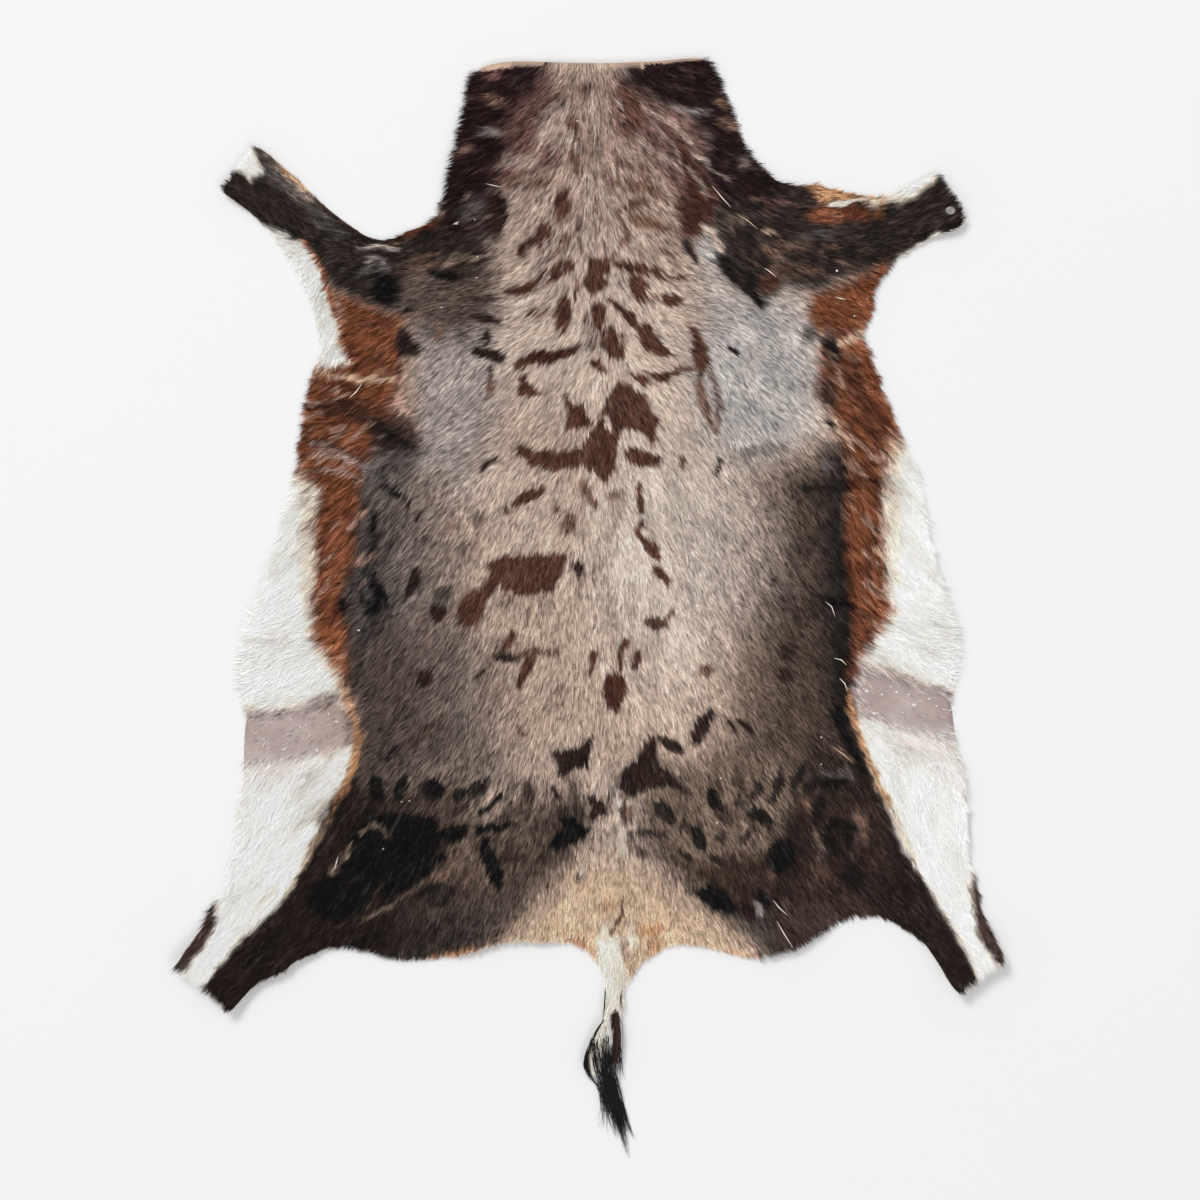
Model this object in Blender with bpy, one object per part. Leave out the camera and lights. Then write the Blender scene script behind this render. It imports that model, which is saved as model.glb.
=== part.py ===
"""Blesbok hide: one tanned skin with its hair on, laid out flat with the hair side up.

Metres, +Z up. The hide lies on the plane z = 0 with its neck toward +Y, its tail toward -Y and
the right side of the picture toward +X. The tables below give places in millimetres, measured
from the middle of the picture; the finished hide is moved so that its box is centred on the
origin. Two solids: the skin with its coat, and the tuft of long hair on the tail's end.
"""
import math
import random
from collections import namedtuple

import bmesh
import bpy
import numpy as np
from mathutils import Vector
from mathutils.geometry import delaunay_2d_cdt

MM = 0.001

# Driving dimensions of the skin and its coat, in metres
COAT_THICKNESS = 0.0052
RIM_THICKNESS = 0.0022
RIM_TAPER = 0.022
PEG_HOLE_CENTRE = (0.413, 0.457)
PEG_HOLE_RADII = (0.0056, 0.0046)
PEG_HOLE_SIDES = 12

# Spacing of the surface's points, in metres
CUT_STEP = 0.010
FIELD_SPACING = 0.027
RIM_ROW_INSET = 0.009
RIM_ROW_SPACING = 0.016
FOLD_SPACING = 0.014

# Gentle unevenness of the body: crossed waves, of which only the tops stand off the floor
SWELL_HEIGHT = 0.0030
SWELL_FLOOR = 0.35
SWELL_WAVES_PER_METRE = (5.2, 3.7)
SWELL_PHASES = (0.8, 2.1)

# Locks of hair along the rim: each one's share of the stretch's reach, and of its lean
LOCK_REACH_SHARE = (0.45, 1.0)
LOCK_LEAN_SHARE = (0.2, 0.45)

# A rise keeps its height to this share of its half width, and fades over so many lengths
RISE_SHOULDER = 0.55
RISE_FADE_START = 2.0
RISE_FADE_LENGTH = 2.0

# The tuft on the tail
TUFT_LAYERS = 4
TUFT_LOCKS_ACROSS = 12
TUFT_ROOT_HEIGHT = 0.0013
TUFT_TIP_HEIGHT = 0.0004
TUFT_LAYER_GAP = 0.0003
TUFT_TIP_WIDTH = 0.0004
TUFT_FILL = 0.78
TUFT_RINGS = 6
TUFT_STRIP_DEPTH = 0.0050
TUFT_STRIP_FLARE = 0.0010
TUFT_REACH_SHARE = (0.55, 1.0)
TUFT_LEFT_SHORTER = 0.45
TUFT_LONGEST_LOCKS = (7, 8)
TUFT_LONGEST_LAYERS = 2
SOLID_GAP = 0.0004

# The rim, clockwise from the left corner of the neck cut. Each stretch runs as a smooth curve
# through its points to the first point of the next one. Its locks of hair stand out by `reach`,
# one every `pitch`, and lean along the walk (+) or against it (-). All in millimetres.
Stretch = namedtuple("Stretch", "name reach pitch lean points")
RIM = (
    Stretch("neck cut", 0, 0, 0, ((-129, 622), (-90, 629), (0, 627), (70, 629), (130, 633))),
    Stretch("neck right", 4, 13, 0.2, ((144, 621), (160, 582), (184, 524), (221, 488))),
    Stretch("shoulder right", 3, 12, 0.8, ((258, 487), (302, 477))),
    Stretch("fore leg right, upper", 1, 14, 0.8, ((335, 473), (368, 487))),
    Stretch("fore shank right", 1, 9, 0, ((403, 502), (419, 469))),
    Stretch("fore leg right, lower", 3, 12, -0.8, ((431, 440), (400, 430), (361, 406), (341, 386))),
    Stretch("elbow right", 2, 12, 0.5, ((328, 368), (327, 338), (314, 315))),
    Stretch("flank right", 7, 13, 0.9, ((318, 303), (329, 268), (341, 235), (356, 200))),
    Stretch("belly right", 3, 15, 0.9, ((366, 176), (380, 148), (385, 100), (403, 40), (418, -8))),
    Stretch("belly hair right", 5, 12, 0.5, ((423, -25), (428, -50), (424, -75))),
    Stretch("bare edge right", 1, 15, 0.5, ((415, -95), (417, -130), (427, -180))),
    Stretch("groin edge right", 3, 15, 0.9, ((430, -205), (434, -250), (433, -280), (441, -308))),
    Stretch("hind leg right, outer", 2, 13, 0.9, ((446, -325), (458, -366))),
    Stretch("hind shank right", 1, 9, 0, ((478, -405), (445, -428))),
    Stretch("hind leg right, inner", 3, 12, -0.9, ((424, -447), (405, -416), (386, -388))),
    Stretch("thigh right", 3, 13, -0.5, ((372, -377), (342, -359), (309, -355), (276, -369))),
    Stretch("rump right", 3, 13, 0, ((243, -391), (189, -404), (145, -393), (97, -388), (58, -411))),
    Stretch("tail right", 1, 12, 0.9, ((39, -437), (34, -470), (32, -500))),
    Stretch("tail end", 0, 0, 0, ((28, -528),)),
    Stretch("tail left", 0, 0, 0, ((-3, -541), (-7, -522), (0, -500), (14, -476), (16, -455))),
    Stretch("tail root left", 1, 12, -0.9, ((17, -436), (4, -404))),
    Stretch("rump left", 3, 13, 0, ((-20, -386), (-95, -384), (-150, -400))),
    Stretch("thigh left", 3, 13, 0.5, ((-223, -406), (-284, -391), (-331, -403))),
    Stretch("hind leg left, inner", 3, 12, 0.9, ((-352, -416), (-387, -434))),
    Stretch("hind shank left", 1, 9, 0, ((-415, -467), (-445, -437))),
    Stretch("hind leg left, outer", 2, 13, -0.9, ((-480, -412), (-450, -371), (-432, -338))),
    Stretch("groin edge left", 3, 15, -0.9, ((-424, -320), (-409, -260), (-401, -205))),
    Stretch("bare edge left", 1, 15, -0.5, ((-400, -185), (-398, -150))),
    Stretch("belly hair left", 5, 12, -0.3, ((-396, -112), (-408, -92), (-407, -60))),
    Stretch("belly left", 2, 15, -0.9, ((-403, -36), (-384, 10), (-365, 60), (-351, 110))),
    Stretch("flank left", 5, 13, -0.9, ((-340, 158), (-334, 200), (-325, 248))),
    Stretch("elbow left", 1, 14, 0, ((-314, 284), (-313, 305), (-322, 345))),
    Stretch("fore leg left, lower", 1, 14, 0.8, ((-333, 373), (-356, 412), (-388, 451))),
    Stretch("fore shank left", 1, 9, 0, ((-428, 482), (-407, 508))),
    Stretch("fore leg left, upper", 2, 13, -0.9, ((-386, 535), (-346, 501), (-300, 458))),
    Stretch("shoulder left", 1, 14, -0.5, ((-262, 430), (-240, 424), (-208, 435), (-180, 450))),
    Stretch("neck left", 5, 12, -0.2, ((-170, 485), (-158, 530), (-148, 570), (-142, 606))),
)

# Folds and creases: a ridge along the points, `width` to its left and `steep` to its right.
Fold = namedtuple("Fold", "name height width steep points")
FOLDS = (
    Fold("soft fold right", 4.0, 20, 12, ((60, 121), (126, 136), (195, 161), (300, 196))),
    Fold("sharp crease right", 6.0, 20, 6, ((238, 142), (271, 139), (300, 147), (334, 149))),
    Fold("flank ridge right", 4.0, 14, 10, ((295, 48), (281, 82), (268, 112))),
    Fold("deep fold right", 7.0, 22, 7, ((262, 12), (292, 13), (318, 6))),
    Fold("first ridge left", 4.5, 9, 8, ((-320, 182), (-285, 171), (-248, 158))),
    Fold("second ridge left", 4.5, 8, 10, ((-314, 161), (-280, 152), (-246, 138))),
    Fold("shoulder fold left", 5.0, 18, 12, ((-278, 232), (-232, 206), (-196, 184))),
    Fold("belly fold left", 5.0, 20, 6, ((-398, -34), (-362, -33), (-324, -38))),
    Fold("bare crease left", 2.5, 10, 8, ((-354, -141), (-329, -148), (-300, -142))),
    Fold("groin crease right", 2.5, 12, 6, ((366, -158), (396, -166), (421, -169))),
    Fold("tail rim", 3.0, 8, 6, ((17, -446), (14, -474), (2, -498), (-3, -520), (1, -538))),
    Fold("spine", 2.5, 16, 16, ((12, -150), (24, -250), (33, -330), (27, -400))),
)

# Stretches of the rim that stand off the floor: rising from `start` to `end` and beyond it,
# over `half_width` on each side. All in millimetres.
Rise = namedtuple("Rise", "name height half_width start end")
RISES = (
    Rise("neck cut", 5.0, 190, (5, 596), (5, 628)),
    Rise("fore shank left", 6.0, 60, (-335, 445), (-408, 512)),
    Rise("fore shank right", 7.0, 55, (350, 440), (424, 464)),
    Rise("hind shank left", 13.0, 75, (-385, -375), (-452, -442)),
    Rise("hind shank right", 15.0, 60, (412, -345), (456, -425)),
    Rise("thigh left", 7.0, 85, (-318, -362), (-342, -410)),
    Rise("thigh right", 6.0, 60, (262, -345), (246, -390)),
    Rise("rump left", 5.0, 75, (-95, -352), (-95, -386)),
    Rise("neck left", 4.0, 90, (-132, 545), (-158, 545)),
    Rise("belly left", 4.0, 85, (-352, 60), (-378, 52)),
    Rise("belly right", 5.0, 75, (378, 60), (402, 66)),
    Rise("groin right", 6.0, 75, (404, -232), (434, -232)),
    Rise("tail", 3.0, 40, (26, -425), (22, -465)),
)

# The tuft lies along these stations: its middle line and half its width, in millimetres.
Station = namedtuple("Station", "x y half_width")
TUFT_STATIONS = (
    Station(13.6, -537.2, 14.5),
    Station(21.0, -555.0, 12.5),
    Station(29.5, -577.0, 11.0),
    Station(37.5, -600.0, 8.5),
    Station(43.0, -619.0, 5.0),
    Station(47.0, -638.0, 3.0),
)

FINISHES = {
    "hide": ((0.115, 0.085, 0.072, 1.0), 0.72),
    "tail_tuft": ((0.012, 0.011, 0.013, 1.0), 0.55),
}


def clear_scene():
    """Removes whatever the file opened with."""
    for item in list(bpy.data.objects):
        bpy.data.objects.remove(item, do_unlink=True)


def finish(name):
    """The plain material of one solid."""
    colour, roughness = FINISHES[name]
    material = bpy.data.materials.new(name)
    material.use_nodes = True
    shader = material.node_tree.nodes["Principled BSDF"]
    shader.inputs["Base Color"].default_value = colour
    shader.inputs["Roughness"].default_value = roughness
    shader.inputs["Metallic"].default_value = 0.0
    return material


def add_object(name, bm, parent):
    """Makes a named object of a mesh, with its own material, under the parent empty."""
    mesh = bpy.data.meshes.new(name)
    bm.to_mesh(mesh)
    bm.free()
    item = bpy.data.objects.new(name, mesh)
    item.data.materials.append(finish(name))
    item.parent = parent
    bpy.context.collection.objects.link(item)
    return item


def metres(points):
    """Millimetre pairs as an array in metres."""
    return np.array(points, dtype=float) * MM


def smooth_curve(points, step):
    """Points about `step` apart on a smooth curve through the given points."""
    padded = np.vstack([2 * points[0] - points[1], points, 2 * points[-1] - points[-2]])
    samples = []
    for before, start, end, after in zip(padded, padded[1:], padded[2:], padded[3:]):
        count = max(2, int(np.linalg.norm(end - start) / step * 4))
        for k in range(count):
            t = k / count
            samples.append(0.5 * (2 * start + (end - before) * t
                                  + (2 * before - 5 * start + 4 * end - after) * t ** 2
                                  + (3 * start - before - 3 * end + after) * t ** 3))
    samples.append(points[-1])
    samples = np.array(samples)
    lengths = np.linalg.norm(np.diff(samples, axis=0), axis=1)
    travelled = np.concatenate([[0.0], np.cumsum(lengths)])
    count = max(1, round(travelled[-1] / step))
    stations = np.linspace(0.0, travelled[-1], count + 1)
    return np.column_stack([np.interp(stations, travelled, samples[:, axis]) for axis in (0, 1)])


def outward_normals(points):
    """Unit normals on the left of a clockwise walk, which is the outside of the hide."""
    along = np.gradient(points, axis=0)
    along /= np.linalg.norm(along, axis=1)[:, None]
    return along, np.column_stack([-along[:, 1], along[:, 0]])


def rim_ring():
    """The rim as a closed ring of points, with its notched locks of hair."""
    chance = random.Random(11)
    ring = []
    for stretch, following in zip(RIM, RIM[1:] + RIM[:1]):
        corners = metres(stretch.points + following.points[:1])
        if stretch.reach == 0:
            ring.extend(smooth_curve(corners, CUT_STEP)[:-1])
            continue
        roots = smooth_curve(corners, stretch.pitch * MM)
        along, outward = outward_normals(roots)
        pitch = stretch.pitch * MM
        for index in range(len(roots) - 1):
            ring.append(roots[index])
            middle = 0.5 * (roots[index] + roots[index + 1])
            reach = stretch.reach * MM * chance.uniform(*LOCK_REACH_SHARE)
            shift = stretch.lean * pitch * chance.uniform(*LOCK_LEAN_SHARE)
            ring.append(middle + outward[index] * reach + along[index] * shift)
    return np.array(ring)


def distance_to_line(points, line):
    """Distance of each point from a polyline, signed: positive on the line's left."""
    best = np.full(len(points), np.inf)
    side = np.ones(len(points))
    for start, end in zip(line, line[1:]):
        run = end - start
        share = np.clip((points - start) @ run / (run @ run), 0.0, 1.0)
        offset = points - (start + share[:, None] * run)
        distance = np.linalg.norm(offset, axis=1)
        nearer = distance < best
        best = np.where(nearer, distance, best)
        turn = run[0] * (points[:, 1] - start[1]) - run[1] * (points[:, 0] - start[0])
        side = np.where(nearer, np.where(turn >= 0.0, 1.0, -1.0), side)
    return best * side


def inside(points, ring):
    """Which points lie inside a closed ring."""
    crossings = np.zeros(len(points), dtype=int)
    for start, end in zip(ring, np.roll(ring, -1, axis=0)):
        spans = (start[1] > points[:, 1]) != (end[1] > points[:, 1])
        rise = end[1] - start[1] if end[1] != start[1] else 1.0
        crossing = start[0] + (points[:, 1] - start[1]) * (end[0] - start[0]) / rise
        crossings += spans & (points[:, 0] < crossing)
    return crossings % 2 == 1


def smooth_step(values):
    """A soft rise from 0 to 1."""
    values = np.clip(values, 0.0, 1.0)
    return values * values * (3.0 - 2.0 * values)


def fold_height(points, fold):
    """Height of one fold: a rounded ridge with a gentle and a steep side."""
    signed = distance_to_line(points, metres(fold.points))
    width = np.where(signed >= 0.0, fold.width, fold.steep) * MM
    share = np.clip(np.abs(signed) / width, 0.0, 1.0)
    return fold.height * MM * np.cos(0.5 * math.pi * share) ** 2


def rise_height(points, rise):
    """Height of one stretch of the rim that stands off the floor."""
    start, end = metres((rise.start, rise.end))
    run = end - start
    length = np.linalg.norm(run)
    run /= length
    ahead = (points - start) @ run
    aside = np.abs((points - start) @ np.array([-run[1], run[0]]))
    across = 1.0 - smooth_step((aside / (rise.half_width * MM) - RISE_SHOULDER) / (1.0 - RISE_SHOULDER))
    beyond = 1.0 - smooth_step((ahead / length - RISE_FADE_START) / RISE_FADE_LENGTH)
    return rise.height * MM * smooth_step(ahead / length) * across * beyond


def underside_height(points):
    """Height of the skin's underside over the floor; 0 where the hide touches it."""
    waves = np.sin(math.tau * points * SWELL_WAVES_PER_METRE + SWELL_PHASES)
    height = SWELL_HEIGHT * np.clip(waves[:, 0] * waves[:, 1] - SWELL_FLOOR, 0.0, None)
    for fold in FOLDS:
        height = height + fold_height(points, fold)
    for rise in RISES:
        height = np.maximum(height, rise_height(points, rise))
    return height


def peg_hole_ring():
    """The hole left by a stretching peg in the right fore shank."""
    turns = np.arange(PEG_HOLE_SIDES) * math.tau / PEG_HOLE_SIDES
    return np.array(PEG_HOLE_CENTRE) + np.column_stack(
        [PEG_HOLE_RADII[0] * np.cos(turns), PEG_HOLE_RADII[1] * np.sin(turns)])


def fold_points(fold):
    """Rows of points along a fold: its crest, its flanks and its feet."""
    crest = smooth_curve(metres(fold.points), FOLD_SPACING)
    _, left = outward_normals(crest)
    rows = [crest]
    for offset in (fold.width, fold.width * 0.5, -fold.steep):
        rows.append(crest + left * offset * MM)
    return np.vstack(rows)


def field_points(ring, hole):
    """Points inside the rim: a row along it, rows along the folds, and an even field between."""
    chance = np.random.default_rng(5)
    kept = [hole]

    def keep(candidates, clearance, rim_clearance):
        candidates = candidates[inside(candidates, ring)]
        rim_line = np.vstack([ring, ring[:1]])
        candidates = candidates[np.abs(distance_to_line(candidates, rim_line)) > rim_clearance]
        for candidate in candidates:
            others = np.vstack(kept)
            if np.min(np.linalg.norm(others - candidate, axis=1)) > clearance:
                kept.append(candidate[None])

    inset = []
    for stretch, following in zip(RIM, RIM[1:] + RIM[:1]):
        edge = smooth_curve(metres(stretch.points + following.points[:1]), RIM_ROW_SPACING)
        inset.append(edge - outward_normals(edge)[1] * RIM_ROW_INSET)
    for fold in FOLDS:
        keep(fold_points(fold), 0.35 * FOLD_SPACING, 0.004)
    keep(np.vstack(inset), 0.55 * RIM_ROW_SPACING, 0.55 * RIM_ROW_INSET)
    low, high = ring.min(axis=0), ring.max(axis=0)
    rows = []
    for row, y in enumerate(np.arange(low[1], high[1], FIELD_SPACING * math.sqrt(0.75))):
        xs = np.arange(low[0] + (row % 2) * FIELD_SPACING / 2, high[0], FIELD_SPACING)
        rows.append(np.column_stack([xs, np.full(len(xs), y)]))
    field = np.vstack(rows)
    field = field + chance.uniform(-0.12, 0.12, field.shape) * FIELD_SPACING
    keep(field, 0.6 * FIELD_SPACING, 0.45 * FIELD_SPACING)
    return np.vstack(kept[1:])


def hide_surface():
    """The skin's underside as a net of triangles, and each point's distance from the rim."""
    ring = rim_ring()
    hole = peg_hole_ring()
    inner = field_points(ring, hole)
    flat = np.vstack([ring, hole, inner])
    loops = []
    for first, count in ((0, len(ring)), (len(ring), len(hole))):
        loops.extend((first + k, first + (k + 1) % count) for k in range(count))
    corners, _, faces, _, _, _ = delaunay_2d_cdt([Vector(p) for p in flat], loops, [], 1, 1e-7)
    points = np.array([tuple(p) for p in corners])
    centres = np.array([points[list(face)].mean(axis=0) for face in faces])
    solid = inside(centres, ring) & ~inside(centres, hole)
    edge = np.minimum(np.abs(distance_to_line(points, np.vstack([ring, ring[:1]]))),
                      np.abs(distance_to_line(points, np.vstack([hole, hole[:1]]))))
    return points, [face for face, keep in zip(faces, solid) if keep], edge


def build_hide(parent):
    """The skin with its lying coat, thinner toward the rim, hair side up."""
    points, faces, edge = hide_surface()
    heights = underside_height(points)
    bm = bmesh.new()
    corners = [bm.verts.new((x, y, z)) for (x, y), z in zip(points, heights)]
    for face in faces:
        bm.faces.new([corners[k] for k in face])
    bmesh.ops.recalc_face_normals(bm, faces=bm.faces)
    if sum(face.normal.z for face in bm.faces) < 0.0:
        bmesh.ops.reverse_faces(bm, faces=bm.faces)
    hide = add_object("hide", bm, parent)
    coat = hide.vertex_groups.new(name="coat")
    thin = RIM_THICKNESS / COAT_THICKNESS
    for index, share in enumerate(smooth_step(edge / RIM_TAPER)):
        coat.add([index], thin + (1.0 - thin) * float(share), "REPLACE")
    shell = hide.modifiers.new("coat", "SOLIDIFY")
    shell.thickness = COAT_THICKNESS
    shell.offset = 1.0
    shell.vertex_group = "coat"
    shell.use_rim = True
    hide.data.shade_smooth()
    hide.data.set_sharp_from_angle(angle=math.radians(40))
    return hide


def tuft_line():
    """The tuft's middle line and half width as functions of the share travelled, 0 to 1."""
    table = metres([tuple(station) for station in TUFT_STATIONS])
    lengths = np.linalg.norm(np.diff(table[:, :2], axis=0), axis=1)
    travelled = np.concatenate([[0.0], np.cumsum(lengths)])
    return travelled / travelled[-1], table


def tuft_place(share, side):
    """A place in the tuft: `share` along it, `side` from -1 to 1 across it."""
    travelled, table = tuft_line()
    x, y, half_width = (float(np.interp(share, travelled, table[:, column])) for column in range(3))
    step = 0.04
    ahead = [float(np.interp(min(share + step, 1.0), travelled, table[:, axis])) for axis in (0, 1)]
    behind = [float(np.interp(max(share - step, 0.0), travelled, table[:, axis])) for axis in (0, 1)]
    run = Vector(ahead) - Vector(behind)
    run.normalize()
    across = Vector((-run.y, run.x))
    return Vector((x, y)) + across * half_width * side, across, half_width


def add_lock(bm, layer, side, reach, spread):
    """One tapered four-sided lock of the tuft, lying level from its root to its tip."""
    rings = []
    for ring in range(TUFT_RINGS):
        share = ring / (TUFT_RINGS - 1)
        place, across, half_width = tuft_place(share * reach, side)
        narrow = 1.0 - share ** 1.5
        width = max(TUFT_TIP_WIDTH, spread * half_width * TUFT_FILL * narrow)
        height = TUFT_TIP_HEIGHT + (TUFT_ROOT_HEIGHT - TUFT_TIP_HEIGHT) * (1.0 - share)
        bed = layer * (TUFT_TIP_HEIGHT + (TUFT_ROOT_HEIGHT - TUFT_TIP_HEIGHT) * (1.0 - share * reach)
                       + TUFT_LAYER_GAP)
        corners = []
        for sign, lift in ((-1, 0.0), (1, 0.0), (1, height), (-1, height)):
            point = place + across * 0.5 * width * sign
            corners.append(bm.verts.new((point.x, point.y, bed + lift)))
        rings.append(corners)
    for lower, upper in zip(rings, rings[1:]):
        for k in range(4):
            bm.faces.new((lower[k], lower[(k + 1) % 4], upper[(k + 1) % 4], upper[k]))
    bm.faces.new(rings[0][::-1])
    bm.faces.new(rings[-1])


def tuft_strip():
    """The narrow strip of skin on the tail's end in which the tuft's hairs are rooted."""
    corners = {stretch.name: stretch.points[0] for stretch in RIM}
    right, left = metres((corners["tail end"], corners["tail left"]))
    run = (left - right) / np.linalg.norm(left - right)
    away = np.array([run[1], -run[0]])
    away = away if away[1] < 0.0 else -away
    height = TUFT_LAYERS * (TUFT_ROOT_HEIGHT + TUFT_LAYER_GAP)
    near = away * SOLID_GAP
    far = away * (SOLID_GAP + TUFT_STRIP_DEPTH)
    flare = run * TUFT_STRIP_FLARE
    bm = bmesh.new()
    floor = [bm.verts.new((x, y, 0.0))
             for x, y in (right + near, left + near, left - flare + far, right + flare + far)]
    base = bm.faces.new(floor)
    top = bmesh.ops.extrude_face_region(bm, geom=[base])["geom"]
    for item in top:
        if isinstance(item, bmesh.types.BMVert):
            item.co.z = height
    bmesh.ops.recalc_face_normals(bm, faces=bm.faces)
    return bm


def build_tail_tuft(parent):
    """The tuft of long dark hair, its locks fused at their roots to the strip."""
    chance = random.Random(23)
    bm = bmesh.new()
    for layer in range(TUFT_LAYERS):
        for index in range(TUFT_LOCKS_ACROSS):
            side = -1.0 + (2.0 * index + 1.0) / TUFT_LOCKS_ACROSS
            reach = chance.uniform(*TUFT_REACH_SHARE) - TUFT_LEFT_SHORTER * max(0.0, -side)
            if index in TUFT_LONGEST_LOCKS and layer < TUFT_LONGEST_LAYERS:
                reach = 1.0
            add_lock(bm, layer, side, reach, 2.0 / TUFT_LOCKS_ACROSS)
    bmesh.ops.recalc_face_normals(bm, faces=bm.faces)
    locks = bpy.data.meshes.new("tuft_locks")
    bm.to_mesh(locks)
    bm.free()
    cutter = bpy.data.objects.new("tuft_locks", locks)
    cutter.hide_render = True
    cutter.display_type = "WIRE"
    cutter.parent = parent
    bpy.context.collection.objects.link(cutter)
    tuft = add_object("tail_tuft", tuft_strip(), parent)
    fuse = tuft.modifiers.new("locks", "BOOLEAN")
    fuse.operation = "UNION"
    fuse.solver = "EXACT"
    fuse.use_self = True
    fuse.object = cutter
    return tuft


def centre_on_origin(parent, solids):
    """Moves the parent empty so that the solids' box is centred over the origin."""
    bpy.context.view_layer.update()
    graph = bpy.context.evaluated_depsgraph_get()
    corners = []
    for solid in solids:
        shape = solid.evaluated_get(graph)
        corners.extend(shape.matrix_world @ Vector(corner) for corner in shape.bound_box)
    low = [min(corner[axis] for corner in corners) for axis in (0, 1)]
    high = [max(corner[axis] for corner in corners) for axis in (0, 1)]
    parent.location.x = -round((low[0] + high[0]) / 2, 4)
    parent.location.y = -round((low[1] + high[1]) / 2, 4)
    print("moved by", tuple(round(value, 4) for value in parent.location))


def main():
    """Builds the hide and its tail tuft under one parent empty."""
    clear_scene()
    origin = bpy.data.objects.new("hide_origin", None)
    bpy.context.collection.objects.link(origin)
    solids = [build_hide(origin), build_tail_tuft(origin)]
    centre_on_origin(origin, solids)


main()
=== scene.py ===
"""Looks of the blesbok hide: a thin skin under more than seven hundred thousand lying hairs.

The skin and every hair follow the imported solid's own underside and rim. The coat's tones, marks
and lie are charted below in millimetres, seen from above, from a point near the middle of the back.
"""

import math
from collections import namedtuple

import bmesh
import bpy
import numpy as np
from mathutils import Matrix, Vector
from mathutils.geometry import delaunay_2d_cdt


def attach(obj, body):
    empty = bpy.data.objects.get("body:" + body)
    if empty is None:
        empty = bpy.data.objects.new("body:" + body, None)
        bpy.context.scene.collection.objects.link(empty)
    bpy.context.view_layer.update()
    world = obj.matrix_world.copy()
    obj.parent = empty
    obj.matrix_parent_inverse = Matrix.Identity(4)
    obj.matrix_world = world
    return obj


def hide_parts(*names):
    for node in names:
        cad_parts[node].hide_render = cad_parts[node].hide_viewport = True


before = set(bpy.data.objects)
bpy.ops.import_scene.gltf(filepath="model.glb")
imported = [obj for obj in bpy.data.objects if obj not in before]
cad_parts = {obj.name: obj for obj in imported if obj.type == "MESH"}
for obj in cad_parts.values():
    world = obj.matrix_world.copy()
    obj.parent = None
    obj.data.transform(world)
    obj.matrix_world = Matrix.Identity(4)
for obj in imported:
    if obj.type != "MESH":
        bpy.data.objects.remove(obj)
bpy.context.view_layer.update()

MM = 0.001
SEED = 1209

# The chart's own zero, seen in the frame
CHART_SHIFT = (0.0009, 0.0024)

# Camera: straight above the middle of the picture, whose width at the floor is 1.38 m
PICTURE_WIDTH = 1.38
PICTURE_CENTRE = (0.0118, 0.0122)
CAMERA_HEIGHT = 4.0
SENSOR_WIDTH = 36.0
CLIP_END = 50.0

# Lights: place, width of the disk and power, and the strength of the white world around
KEY_LIGHT = ((-6.0, 8.0, 10.0), 5.0, 1060.0)
FILL_LIGHT = ((5.0, -7.0, 10.0), 6.0, 290.0)
WORLD_STRENGTH = 0.60
FLOOR_SIZE = 8.0
FLOOR_DROP = 0.0002

# The skin, in metres: how its points are spaced and shaken, and how far they keep off the rim
SKIN_THICKNESS = 0.0015
SKIN_SPACING = 0.0062
SKIN_EDGE_STEP = 0.0035
SKIN_SHAKE = 0.18
SKIN_RIM_GAP = 0.7
HOLE_STEP = 0.002
HOLE_CLEARANCE = 0.0050

# The solid's underside is where its normals point down by this much; grids over it, in metres,
# have these cells and reach past its rim
UNDERSIDE = -0.5
HEIGHT_CELL = 0.002
HEIGHT_MARGIN = 0.03
RIM_CELL = 0.003
RIM_GRID_MARGIN = 0.02
RIM_CHUNK = 20_000

# The skin ends short of the solid's rim, by a margin and by a share of what its hair reaches past it
RIM_MARGIN = 0.0008
RIM_REACH_SHARE = 0.72
RIM_KEPT_NEAR_HOLE = 0.012
RIM_KEPT_FADE = 0.010
RIM_SMOOTHING = 4
NORMAL_SMOOTHING = 6
REACH_SMOOTHING = 8
SKIN_SMOOTHING = 3

HAIRS_IN_ALL = 756_000
LONG_HAIRS = 22_000
COAT_PIECES = ("coat_neck", "coat_shoulders", "coat_back", "coat_rump")

# Lying hairs: width, lift and roots in metres, and how far the hairs differ from each other
HAIR_WIDTH = 0.00070
HAIR_LIFT = 0.0024
ROOT_MARGIN = 0.0002
ROOT_SINK = 0.0002
ROOT_SPREAD = 0.0008
LEAST_TIP = 0.0004
HAIR_BEND = 0.13
HAIR_OWN_BEND = 0.10
HAIR_LENGTHS = (0.72, 1.12)
HAIR_WIDTHS = (0.7, 1.25)
HAIR_LIFTS = (0.12, 1.5)
MEAN_LIFT = 0.75
LIFT_SWING = 0.22
HAIR_ROLL = 0.30
WIDTH_BY_LENGTH = 0.2
HAIR_TONE_AT = 0.45

# Past the skin's rim hairs sink: over how many metres, and by shares of their lift and of the skin
PAST_RIM = 0.012
HAIR_SINK = 0.6
SKIN_SINK = 0.8
GUARD_SINKS = (0.3, 0.85)

# Guard hairs: how many are drawn for each one kept, the chance in the open, at the rim and
# in long coat, and how they differ
GUARD_DRAWN = 5
GUARD_CHANCE = 0.06
GUARD_AT_RIM = 0.9
GUARD_RIM_REACH = 0.010
GUARD_IN_LONG = 0.35
GUARD_LONG_SPAN = 8.0
GUARD_BEND = 0.26
GUARD_OWN_BEND = 0.16
GUARD_CURVE = 0.16
GUARD_LENGTHS = (0.9, 1.35)
GUARD_WIDTHS = (0.0006, 0.0011)
GUARD_LIFTS = (0.9, 1.5)
GUARD_LEAST = 0.0005
GUARD_TONE_AT = 0.4
GUARD_MIDDLE = 0.8

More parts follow.
